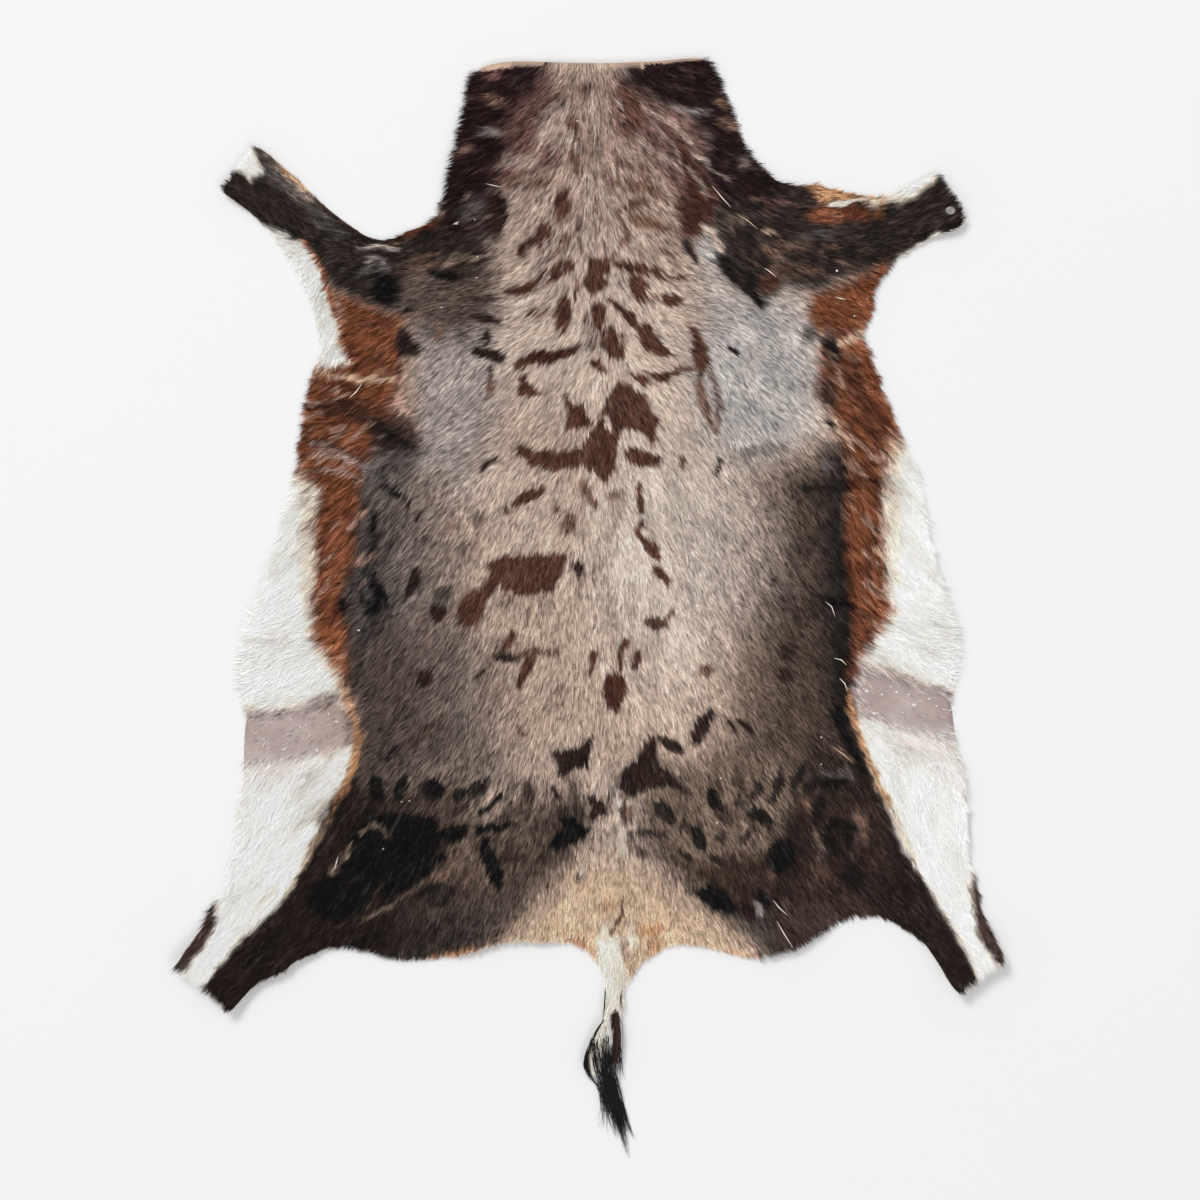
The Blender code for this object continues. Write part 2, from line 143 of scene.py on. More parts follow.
# A kind of hair: which of its points its triangles join, and each point's shade and place on the cell; the
# shades are painted shade at the root, under the coat, and painted light at the tip
Blade = namedtuple("Blade", "order shades layout")
SHORT_BLADE = Blade((0, 1, 2), (0.86, 0.86, 1.1), ((0.15, 0.15), (0.85, 0.15), (0.5, 0.85)))
LONG_BLADE = Blade((0, 1, 3, 0, 3, 2, 2, 3, 4), (0.85, 0.85, 1.0, 1.0, 1.12),
                   ((0.2, 0.1), (0.8, 0.1), (0.25, 0.5), (0.75, 0.5), (0.5, 0.9)))

# Random grain drawn out along the lie: seed, then cell and length of a streak in millimetres
GRAIN_SPAN = 1500.0
STREAK_STEPS = 9
GRAINS = {
    "fine": (11, 1.0, 4.8),
    "tuft": (12, 3.2, 14.0),
    "cloud": (17, 14.0, 40.0),
    "fleck": (18, 7.0, 24.0),
    "drift": (13, 8.0, 8.0),
    "ragged": (14, 1.8, 18.0),
    "turn": (15, 5.0, 10.0),
    "long turn": (15, 5.0, 14.0),
    "clump": (16, 2.4, 9.0),
}

# How far the chart's edges wander across and along the hair, in millimetres
DRIFT = 1.2
RAGGED = 1.5

# How far the fine streaks lean to thin dark gaps, painted shade between the hairs, and how much of its own
# hue a hair keeps under painted highlight
FINE_GAPS = 0.16
HUE_KEPT = 0.7

# Swing of the brightness from hair to hair and tuft to tuft, partly the hair's own tone and partly painted
# light and shade on the hairs and tufts: at black, its fall toward white, the least and the most
HAIR_SWING = (0.60, 0.56, 0.05, 0.52)
TUFT_SWING = (1.25, 1.2, 0.25, 1.0)
PLAIN_TUFTING = 0.07
FINE_SHARE = 0.9
OWN_SHARE = 0.4
CLOUD_SHARE = 0.08
MOST_BRIGHTER = 1.6

# Light caught along dark hair: its colour, where it starts, and its strength in plain and tufted coat
SHEEN_TONE = np.array([1.08, 0.98, 0.92])
SHEEN_SHARES = (0.5, 0.5, 0.3)
SHEEN_START = 0.6
SHEEN_MOST = 1.6
SHEEN_DARK = 0.07
SHEEN_PLAIN = 0.018
SHEEN_TUFTED = 0.05

# The baked coat's palette: cells along a side, and the numbers of steps to round to, finest first
PALETTE_SIDE = 64
PALETTE_STEPS = range(60, 8, -2)
PALETTE_CODE = 1000
SEEN_POWER = 2.2

# Tail tuft, in millimetres and shares of a lock: how its hairs spread, begin, end and lie
LOCK_STOPS = 8
LOCK_END = -636.0
LOCK_SPREAD = 0.55
LOCK_WIDEST = 1.6
LOCK_DRIFT = 0.30
LOCK_DRIFTS = (0.6, 1.0, 1.4)
LOCK_SLIP = 0.35
LOCK_BEGINS = (-0.05, 0.40)
LOCK_ENDS = (0.62, 1.05)
LOCK_WIDTHS = (0.62, 0.10)
LOCK_WIDTH_SWING = (0.7, 1.2)
LOCK_TONE_SWING = 0.45

# Heights of the tuft over the floor, in metres: least, on top of the coat, and what each hair adds
TUFT_LEAST = 0.0006
TUFT_RISE = 0.0042
TUFT_OWN_RISE = 0.0024
TUFT_OWN_FALL = 0.8
TUFT_RISE_SPAN = 0.006
TUFT_RISE_START = 1.6

# The part of a noise texture's values that the materials use, and what it changes of the hair's roughness
NOISE_SPAN = (0.3, 0.7)
ROUGH_SWING = 0.07

# The coat's tones, as sRGB out of 255
TONES = {
    "taupe": (178, 158, 144),
    "light taupe": (198, 180, 167),
    "pale taupe": (210, 196, 184),
    "grey": (160, 149, 143),
    "mid grey": (122, 109, 101),
    "dark grey": (74, 66, 62),
    # The sheen grey is painted sheen: light on the glossy coat, given as a grey tone
    "sheen grey": (174, 168, 164),
    "brown grey": (128, 110, 96),
    "dark brown grey": (76, 61, 51),
    "blue grey": (94, 87, 85),
    "dark taupe": (86, 71, 62),
    "rump brown": (66, 49, 39),
    "thigh brown": (38, 26, 21),
    "leg brown": (66, 49, 43),
    "maroon": (38, 19, 20),
    "neck brown": (106, 77, 70),
    "shoulder": (46, 36, 32),
    "black": (10, 7, 7),
    "soft black": (27, 20, 18),
    "chestnut": (116, 68, 42),
    "orange chestnut": (138, 84, 50),
    "dark chestnut": (70, 40, 28),
    "pink brown": (164, 134, 116),
    "tan": (204, 178, 154),
    "orange tan": (180, 136, 98),
    "cream": (238, 226, 210),
    "white": (255, 246, 233),
    "grey white": (216, 211, 206),
    "mauve": (178, 164, 159),
    "warm mauve": (166, 148, 138),
    "spot brown": (86, 55, 42),
    "spot dark": (46, 30, 24),
    "soft brown": (116, 90, 76),
    "tuft black": (12, 11, 13),
}

# Areas, strokes and ovals of one tone: edge is how many millimetres a rim takes to fade, part its strength
Area = namedtuple("Area", "tone edge points part", defaults=(1.0,))
Stroke = namedtuple("Stroke", "tone edge widths points part", defaults=(1.0,))
Oval = namedtuple("Oval", "tone edge x y wide high turn part", defaults=(0.0, 1.0))

# The coat's wide areas, painted first
GROUND = [
    Oval("pale taupe", 110, 88, 70, 170, 300, 0, 0.8),
    Area("grey", 70, [(-235, 350), (-105, 350), (-100, 240), (-140, 130), (-260, 160), (-245, 250)]),
    Area("mid grey", 90, [(-270, 165), (-168, 150), (-150, 20), (-112, -90), (-96, -200), (-270, -200)]),
    Area("dark grey", 70, [(-360, 185), (-235, 165), (-225, 0), (-210, -185), (-330, -190)]),
    Area("dark taupe", 80, [(-300, -20), (-180, -30), (-150, -190), (-300, -200)], 0.7),
    # Painted sheen: grey of the light on the glossy coat over the right side and neck
    Oval("sheen grey", 60, 192, 268, 150, 200),
    Area("sheen grey", 60, [(130, 430), (165, 395), (150, 330), (125, 360)], 0.7),
    Area("brown grey", 80, [(190, 150), (320, 170), (330, -230), (150, -230), (165, -60)]),
    Area("dark brown grey", 66, [(226, 165), (340, 180), (340, -230), (200, -230), (214, 0)]),
    Area("soft black", 40, [(272, 190), (330, 190), (330, -190), (272, -130), (262, 40)]),
    Area("black", 18, [(275, 112), (300, 110), (318, 0), (312, -110), (296, -135), (283, -95), (282, 10),
        (276, 60)]),
    Area("dark taupe", 60, [(-340, -192), (-150, -200), (-120, -235), (-30, -215), (10, -210), (8, -262),
        (-50, -320), (-120, -420), (-340, -400)]),
    Area("rump brown", 60, [(60, -205), (140, -185), (230, -150), (300, -150), (360, -200), (360, -400),
        (205, -410), (120, -332), (70, -285), (52, -250)]),
    Area("thigh brown", 60, [(190, -235), (300, -150), (500, -430), (480, -520), (300, -430), (222, -420),
        (205, -340)]),
    Area("thigh brown", 60, [(-190, -255), (-290, -170), (-500, -400), (-480, -520), (-240, -430),
        (-205, -340)]),
    Area("dark grey", 60, [(-210, -365), (-90, -335), (-130, -400), (-230, -420)], 0.8),
    Area("dark grey", 40, [(150, -350), (205, -350), (225, -400), (200, -405)], 0.8),
    Area("leg brown", 40, [(215, -325), (300, -325), (340, -370), (280, -375), (215, -395)]),
    Area("tan", 50, [(-150, -435), (-92, -386), (-62, -352), (-36, -322), (-6, -296), (18, -286),
        (50, -292), (88, -328), (128, -352), (165, -380), (200, -415), (100, -450), (-100, -450)]),
    Area("light taupe", 50, [(-10, -190), (52, -190), (48, -235), (62, -290), (-4, -290), (14, -240)],
        0.6),
    Area("light taupe", 60, [(-95, 480), (-30, 490), (30, 490), (70, 440), (110, 330), (100, 200),
        (-90, 220), (-100, 340)], 0.75),
    Area("dark taupe", 100, [(190, 40), (270, 110), (270, -190), (150, -190)], 0.5),
    Oval("grey", 70, 155, 70, 120, 190, 0, 0.5),
    Oval("light taupe", 60, -75, 110, 90, 130, 10, 0.6),
    Oval("thigh brown", 50, -205, -385, 130, 60, 14, 0.7),
]

# Neck, throat and fore legs
NECK = [
    Area("neck brown", 60, [(-84, 612), (74, 612), (125, 500), (104, 395), (-84, 395), (-100, 500)],
        0.38),
    Area("shoulder", 30, [(-130, 520), (-330, 470), (-400, 560), (-490, 500), (-330, 385), (-262, 350),
        (-215, 352), (-205, 382), (-150, 368), (-118, 375), (-112, 400), (-118, 430)]),
    Area("dark taupe", 50, [(-240, 385), (-112, 385), (-108, 345), (-140, 308), (-222, 320)], 0.95),
    Area("shoulder", 30, [(135, 520), (330, 480), (480, 560), (480, 390), (330, 388), (262, 366),
        (215, 372), (200, 352), (178, 372), (148, 400), (136, 440)]),
    Area("neck brown", 34, [(-180, 650), (-46, 650), (-40, 600), (-28, 560), (-34, 520), (-92, 484),
        (-170, 470)]),
    Area("taupe", 30, [(-52, 650), (26, 650), (24, 612), (-40, 612)], 0.6),
    Area("light taupe", 16, [(-62, 556), (-36, 574), (-22, 566), (-34, 540), (-60, 528)], 0.6),
    Area("light taupe", 12, [(-100, 520), (-60, 520), (-66, 508), (-104, 508)], 0.55),
    Area("maroon", 26, [(-190, 650), (-56, 650), (-58, 604), (-88, 580), (-104, 552), (-92, 528),
        (-112, 500), (-112, 428), (-190, 440)]),
    Area("neck brown", 22, [(24, 606), (60, 606), (80, 580), (128, 560), (150, 500), (136, 440),
        (104, 436), (92, 490), (60, 530), (28, 545)], 0.9),
    Area("maroon", 22, [(40, 650), (190, 650), (230, 480), (140, 470), (132, 450), (130, 500), (132, 540),
        (112, 566), (84, 578), (64, 592), (40, 606)]),
    Area("dark chestnut", 16, [(88, 552), (106, 536), (124, 506), (142, 478), (140, 446), (120, 424),
        (104, 432), (100, 460), (112, 490), (96, 520)]),
    # Light streaks over the right neck's dark coat: pale hair partly painted as glossy highlight
    Stroke("light taupe", 5, (2, 3, 4, 3, 2), [(48, 596), (66, 572), (96, 556), (118, 532), (134, 510)],
        0.4),
    Stroke("light taupe", 5, (2, 4, 2), [(70, 560), (90, 536), (104, 512)], 0.35),
    Stroke("light taupe", 6, (2, 5, 5, 2), [(44, 552), (62, 536), (84, 520), (104, 502)], 0.6),
    Stroke("light taupe", 5, (2, 4, 2), [(112, 508), (122, 494), (132, 476)], 0.5),
    Stroke("light taupe", 4, (1, 3, 1), [(118, 520), (138, 506), (158, 494)], 0.45),
    # Two grey ovals of painted glossy highlight
    Oval("grey", 8, 110, 572, 16, 5, -10, 0.5),
    Oval("grey", 8, 126, 572, 10, 5, -10, 0.5),
    Oval("grey", 8, -112, 547, 18, 8, -6, 0.6),
    Oval("spot brown", 10, 45, 572, 24, 56, 6, 0.85),
    Oval("spot dark", 8, -2, 599, 18, 8, 10, 0.7),
    Oval("neck brown", 8, -4, 590, 14, 14, 0, 0.6),
    Oval("spot brown", 6, -22, 557, 11, 20, 0, 0.8),
    Oval("soft brown", 8, -108, 584, 22, 9, -24, 0.9),
    Oval("neck brown", 6, -110, 612, 14, 7, 0),
    Oval("soft brown", 8, 151, 580, 14, 9, -20, 0.9),
    Oval("soft brown", 9, 160, 557, 24, 10, -16, 0.9),
    Oval("soft brown", 8, -146, 527, 18, 7, 20, 0.7),
    Oval("mid grey", 8, 176, 512, 10, 14, 0, 0.6),
    Oval("chestnut", 10, -198, 436, 44, 12, 24, 0.75),
    Oval("black", 6, -192, 433, 12, 5, 10),
    Oval("blue grey", 10, -305, 444, 50, 16, -36, 0.7),
    Oval("blue grey", 12, -360, 492, 56, 10, -38, 0.8),
    Stroke("grey", 5, (2, 4, 2), [(-264, 414), (-242, 417), (-220, 413)]),
    Oval("grey", 6, -250, 399, 12, 8, 0, 0.9),
    Oval("grey", 6, -238, 392, 12, 18, 20, 0.8),
    Oval("blue grey", 6, -254, 391, 22, 9, 30, 0.9),
    Oval("blue grey", 6, -247, 375, 16, 6, 20, 0.8),
    Oval("black", 16, -236, 368, 34, 44, 0),
    Oval("soft brown", 12, -182, 394, 46, 10, 8, 0.7),
    Oval("black", 8, -168, 385, 26, 10, -10),
    Oval("blue grey", 12, -135, 460, 34, 22, 20, 0.5),
    Oval("soft brown", 6, -192, 405, 20, 5, 18, 0.8),
    Stroke("soft black", 8, (14, 20, 8), [(146, 405), (176, 376), (198, 350)]),
    # Painted sheen on the neck's side
    Oval("sheen grey", 10, 134, 412, 20, 24, 0),
    Stroke("light taupe", 5, (5, 3), [(131, 440), (150, 414)]),
    Oval("soft brown", 12, 222, 414, 46, 14, 10, 0.6),
    Oval("soft brown", 12, 232, 388, 44, 14, 4, 0.5),
    Oval("brown grey", 8, 165, 448, 16, 8, 0, 0.8),
    Oval("tan", 5, 202, 435, 9, 5, 0, 0.7),
    Oval("blue grey", 12, 260, 430, 30, 14, 10, 0.5),
    Oval("spot brown", 10, 206, 374, 24, 22, 0),
    Stroke("neck brown", 8, (4, 8, 4), [(186, 472), (205, 468), (236, 464)], 0.8),
]

# Chestnut along both flanks
FLANKS = [
    Area("pink brown", 34, [(-300, 285), (-208, 330), (-200, 240), (-205, 190), (-300, 200)], 0.75),
    Area("chestnut", 20, [(-290, 362), (-262, 352), (-236, 340), (-216, 334), (-218, 290), (-222, 250),
        (-240, 200), (-262, 160), (-268, 120), (-274, 60), (-286, 20), (-282, -20), (-282, -80),
        (-274, -110), (-266, -150), (-276, -150), (-290, -80), (-303, -60), (-318, -37), (-324, 0),
        (-324, 60), (-312, 135), (-350, 160), (-345, 280), (-300, 283), (-288, 300), (-288, 340)]),
    Area("orange chestnut", 14, [(-284, -20), (-282, -80), (-276, -110), (-266, -150), (-276, -150),
        (-290, -80), (-303, -60), (-318, -37), (-320, -20)], 0.85),
    Area("dark chestnut", 16, [(-300, 246), (-255, 240), (-200, 215), (-196, 182), (-236, 182),
        (-262, 214), (-300, 224)], 0.8),
    Stroke("soft black", 9, (4, 7, 7, 3), [(-272, 223), (-250, 215), (-225, 196), (-203, 184)]),
    # Two mauve strokes of painted highlight on the glossy chestnut hair
    Stroke("mauve", 8, (2, 7, 3), [(-318, 180), (-280, 172), (-245, 158)], 0.6),
    Stroke("mauve", 8, (2, 5, 2), [(-315, 160), (-285, 158), (-262, 148)], 0.5),
    Stroke("dark chestnut", 8, (3, 6, 3), [(-330, 196), (-300, 190), (-262, 172)], 0.7),
    Stroke("dark chestnut", 8, (3, 6, 3), [(-325, 262), (-290, 252), (-262, 256)], 0.6),
    Stroke("dark chestnut", 8, (5, 5), [(-270, 330), (-232, 322)], 0.5),
    Oval("blue grey", 12, -250, 155, 22, 20, 0, 0.8),
    Area("chestnut", 16, [(250, 338), (256, 362), (275, 366), (300, 376), (338, 398), (350, 380),
        (330, 330), (300, 318), (262, 318)]),
    Area("chestnut", 18, [(282, 322), (330, 322), (346, 290), (352, 200), (352, 140), (342, 60), (350, 0),
        (330, -40), (312, -66), (300, -78), (304, -40), (303, 0), (296, 60), (294, 110), (298, 160),
        (288, 200), (262, 250), (262, 300)]),
    Oval("soft black", 12, 276, 298, 16, 40, 8),
    Oval("soft black", 12, 252, 315, 14, 20, 0, 0.8),
    Oval("soft black", 14, 274, 250, 22, 36, 20, 0.8),
    Oval("dark chestnut", 14, 300, 262, 26, 44, 24, 0.7),
    Oval("dark chestnut", 14, 320, 215, 16, 60, 18, 0.55),
    Oval("dark chestnut", 10, 318, 150, 12, 50, 4, 0.5),
    Oval("dark chestnut", 10, 322, 60, 12, 70, -4, 0.45),
    Oval("dark chestnut", 10, 318, -30, 10, 40, 0, 0.5),
    Stroke("tan", 7, (5, 8, 4), [(285, 305), (308, 314), (332, 316)], 0.8),
    Stroke("tan", 4, (2, 3, 2), [(281, 218), (288, 204), (300, 184)], 0.8),
    Stroke("tan", 3, (2, 3, 2), [(318, 105), (322, 96), (325, 86)], 0.8),
    Stroke("tan", 3, (2, 3, 2), [(326, 72), (332, 64), (338, 57)], 0.8),
    Stroke("soft black", 5, (2, 4, 4, 5, 3), [(226, 141), (258, 139), (288, 138), (312, 150), (333, 145)],
        0.85),
    Stroke("black", 5, (4, 8, 4), [(262, 13), (285, 8), (305, 3)]),
    Stroke("tan", 6, (3, 5, 5, 3), [(-312, 276), (-296, 268), (-262, 264), (-226, 264)], 0.7),
    Stroke("dark chestnut", 8, (4, 9, 12, 8), [(-332, 232), (-305, 233), (-278, 232), (-258, 226)], 0.9),
    # Painted highlight: a mauve stroke of light on the glossy hair
    Stroke("mauve", 6, (2, 5, 3), [(-320, 192), (-300, 186), (-278, 176)], 0.5),
    Area("soft black", 24, [(-252, 216), (-216, 208), (-192, 186), (-205, 150), (-240, 150), (-246, 186)],
        0.7),
    Oval("orange chestnut", 20, 318, 356, 30, 30, 0, 0.5),
]

# White belly edges, bare groins, hind shanks and the tail's root
WHITES = [
    Area("white", 11, [(-375, 440), (-360, 433), (-345, 424), (-331, 420), (-322, 410), (-312, 390),
        (-303, 370), (-298, 352), (-292, 340), (-291, 322), (-288, 300), (-278, 282), (-300, 280),
        (-330, 284), (-420, 300), (-420, 440)]),
    Stroke("orange chestnut", 6, (2, 4, 6, 4, 2), [(-330, 424), (-312, 397), (-300, 362), (-289, 328),
        (-280, 300)]),
    Area("white", 10, [(-411, 505), (-398, 530), (-388, 528), (-382, 512), (-378, 498), (-390, 495),
        (-400, 500)]),
    Stroke("orange tan", 6, (2, 3, 4, 3, 2), [(-352, 504), (-325, 482), (-298, 462), (-275, 444),
        (-250, 429)]),
    Area("cream", 12, [(322, 462), (345, 466), (365, 472), (388, 488), (406, 504), (400, 530),
        (300, 500)]),
    Area("white", 12, [(340, 474), (365, 478), (386, 494), (398, 510), (392, 530), (330, 500)]),
    Area("orange tan", 14, [(250, 486), (262, 470), (284, 466), (310, 468), (340, 468), (330, 452),
        (345, 495), (300, 500)], 0.85),
    Area("chestnut", 12, [(244, 450), (262, 460), (300, 462), (335, 452), (300, 446), (262, 444)]),
    Stroke("cream", 3, (3, 3, 2), [(276, 463), (296, 466), (318, 470)]),
    Stroke("cream", 7, (3, 7, 5), [(355, 401), (378, 414), (397, 428)]),
    Area("white", 20, [(352, 180), (342, 160), (338, 120), (340, 80), (344, 40), (343, 20), (351, 0),
        (340, -20), (326, -40), (312, -62), (330, -66), (350, -72), (370, -80), (390, -88), (416, -100),
        (450, -60), (420, 200)]),
    Stroke("tan", 18, (12, 14, 12, 6), [(348, 190), (345, 140), (347, 90), (350, 30)], 0.55),
    Area("white", 22, [(-345, 156), (-325, 142), (-312, 134), (-318, 115), (-322, 100), (-319, 60),
        (-323, 40), (-323, 0), (-319, -37), (-308, -52), (-303, -62), (-290, -82), (-283, -98),
        (-300, -101), (-330, -107), (-350, -113), (-370, -118), (-450, -108), (-440, 160)]),
    Stroke("tan", 16, (8, 10, 8, 5), [(-335, 158), (-322, 120), (-326, 70), (-326, 10)], 0.5),
    Area("mauve", 12, [(312, -60), (330, -66), (350, -72), (370, -80), (390, -88), (430, -104),
        (440, -160), (400, -150), (370, -142), (345, -136), (325, -127), (308, -120), (302, -98)]),
    Area("grey white", 26, [(440, -140), (440, -215), (380, -178), (335, -150), (318, -128), (370, -140)],
        0.8),
    Area("mauve", 12, [(-283, -98), (-300, -101), (-330, -107), (-350, -113), (-370, -118), (-440, -108),
        (-440, -190), (-400, -184), (-360, -182), (-330, -178), (-310, -172), (-285, -165), (-270, -152),
        (-270, -125)]),
    Oval("warm mauve", 30, -290, -134, 50, 60, 0, 0.8),
    Area("white", 10, [(303, -122), (310, -150), (318, -170), (328, -195), (338, -215), (345, -235),
        (352, -255), (360, -275), (372, -290), (382, -310), (395, -330), (405, -345), (415, -360),
        (428, -385), (437, -405), (447, -428), (480, -440), (470, -412), (457, -395), (446, -375),
        (439, -360), (438, -345), (434, -320), (441, -298), (470, -280), (450, -200), (400, -160),
        (345, -140), (320, -128)]),
    Area("white", 10, [(-268, -158), (-280, -185), (-290, -205), (-300, -225), (-308, -240), (-318, -260),
        (-328, -280), (-335, -300), (-345, -320), (-357, -338), (-370, -350), (-385, -365), (-400, -378),
        (-412, -390), (-425, -405), (-437, -420), (-450, -440), (-480, -440), (-467, -415), (-454, -400),
        (-441, -385), (-433, -370), (-428, -355), (-431, -340), (-460, -300), (-450, -190), (-360, -182),
        (-310, -172)]),
    Area("grey white", 30, [(-440, -180), (-300, -172), (-300, -200), (-360, -215), (-440, -235)], 0.75),
    Area("grey white", 30, [(440, -165), (350, -150), (345, -170), (400, -200), (440, -220)], 0.75),
    Area("leg brown", 10, [(444, -296), (436, -320), (440, -345), (441, -360), (448, -375), (459, -395),
        (470, -414), (520, -400), (470, -290)]),
    Area("leg brown", 10, [(-432, -336), (-430, -355), (-435, -370), (-443, -385), (-456, -400),
        (-469, -417), (-520, -400), (-470, -330)]),
    Stroke("orange tan", 8, (2, 4, 6, 7, 5, 3), [(-290, -82), (-276, -112), (-267, -145), (-271, -180),
        (-288, -215), (-302, -245)]),
    Stroke("orange tan", 7, (2, 4, 5, 4, 3), [(296, -92), (300, -118), (312, -155), (326, -188),
        (343, -224)]),
    Stroke("tan", 7, (4, 3, 2), [(343, -224), (360, -262), (376, -292)], 0.7),
    Stroke("tan", 7, (5, 3, 2), [(-302, -245), (-326, -285), (-350, -330)], 0.6),
    Stroke("grey white", 10, (3, 6, 3), [(-400, -38), (-370, -34), (-345, -40)], 0.8),
    Stroke("orange tan", 8, (3, 7, 8, 5), [(-205, -410), (-165, -400), (-120, -392), (-80, -390)], 0.9),
    Stroke("orange tan", 10, (5, 9, 9, 5), [(120, -392), (155, -399), (185, -407), (215, -412)], 0.8),
    Area("cream", 12, [(8, -380), (38, -378), (40, -430), (36, -460), (30, -520), (8, -545), (-8, -530),
        (2, -500), (12, -460), (10, -420)]),
    Oval("cream", 12, 50, -376, 12, 20, 0, 0.7),
    Oval("soft brown", 10, 38, -388, 6, 26, 14, 0.7),
    Oval("orange tan", 12, 70, -369, 34, 14, 8, 0.8),
    Oval("orange tan", 12, 76, -388, 16, 16, 0, 0.7),
    Oval("orange tan", 12, 22, -342, 16, 10, 20, 0.5),
    Oval("orange tan", 12, -14, -386, 26, 14, -36, 0.7),
    Oval("cream", 10, 20, -372, 14, 20, 10, 0.5),
    Stroke("pale taupe", 8, (3, 6, 7, 5), [(28, -200), (33, -226), (35, -245), (38, -278)], 0.8),
    Stroke("spot brown", 2, (1.5, 2, 3, 2), [(37, -336), (36, -350), (31, -362), (24, -374)], 0.8),
]

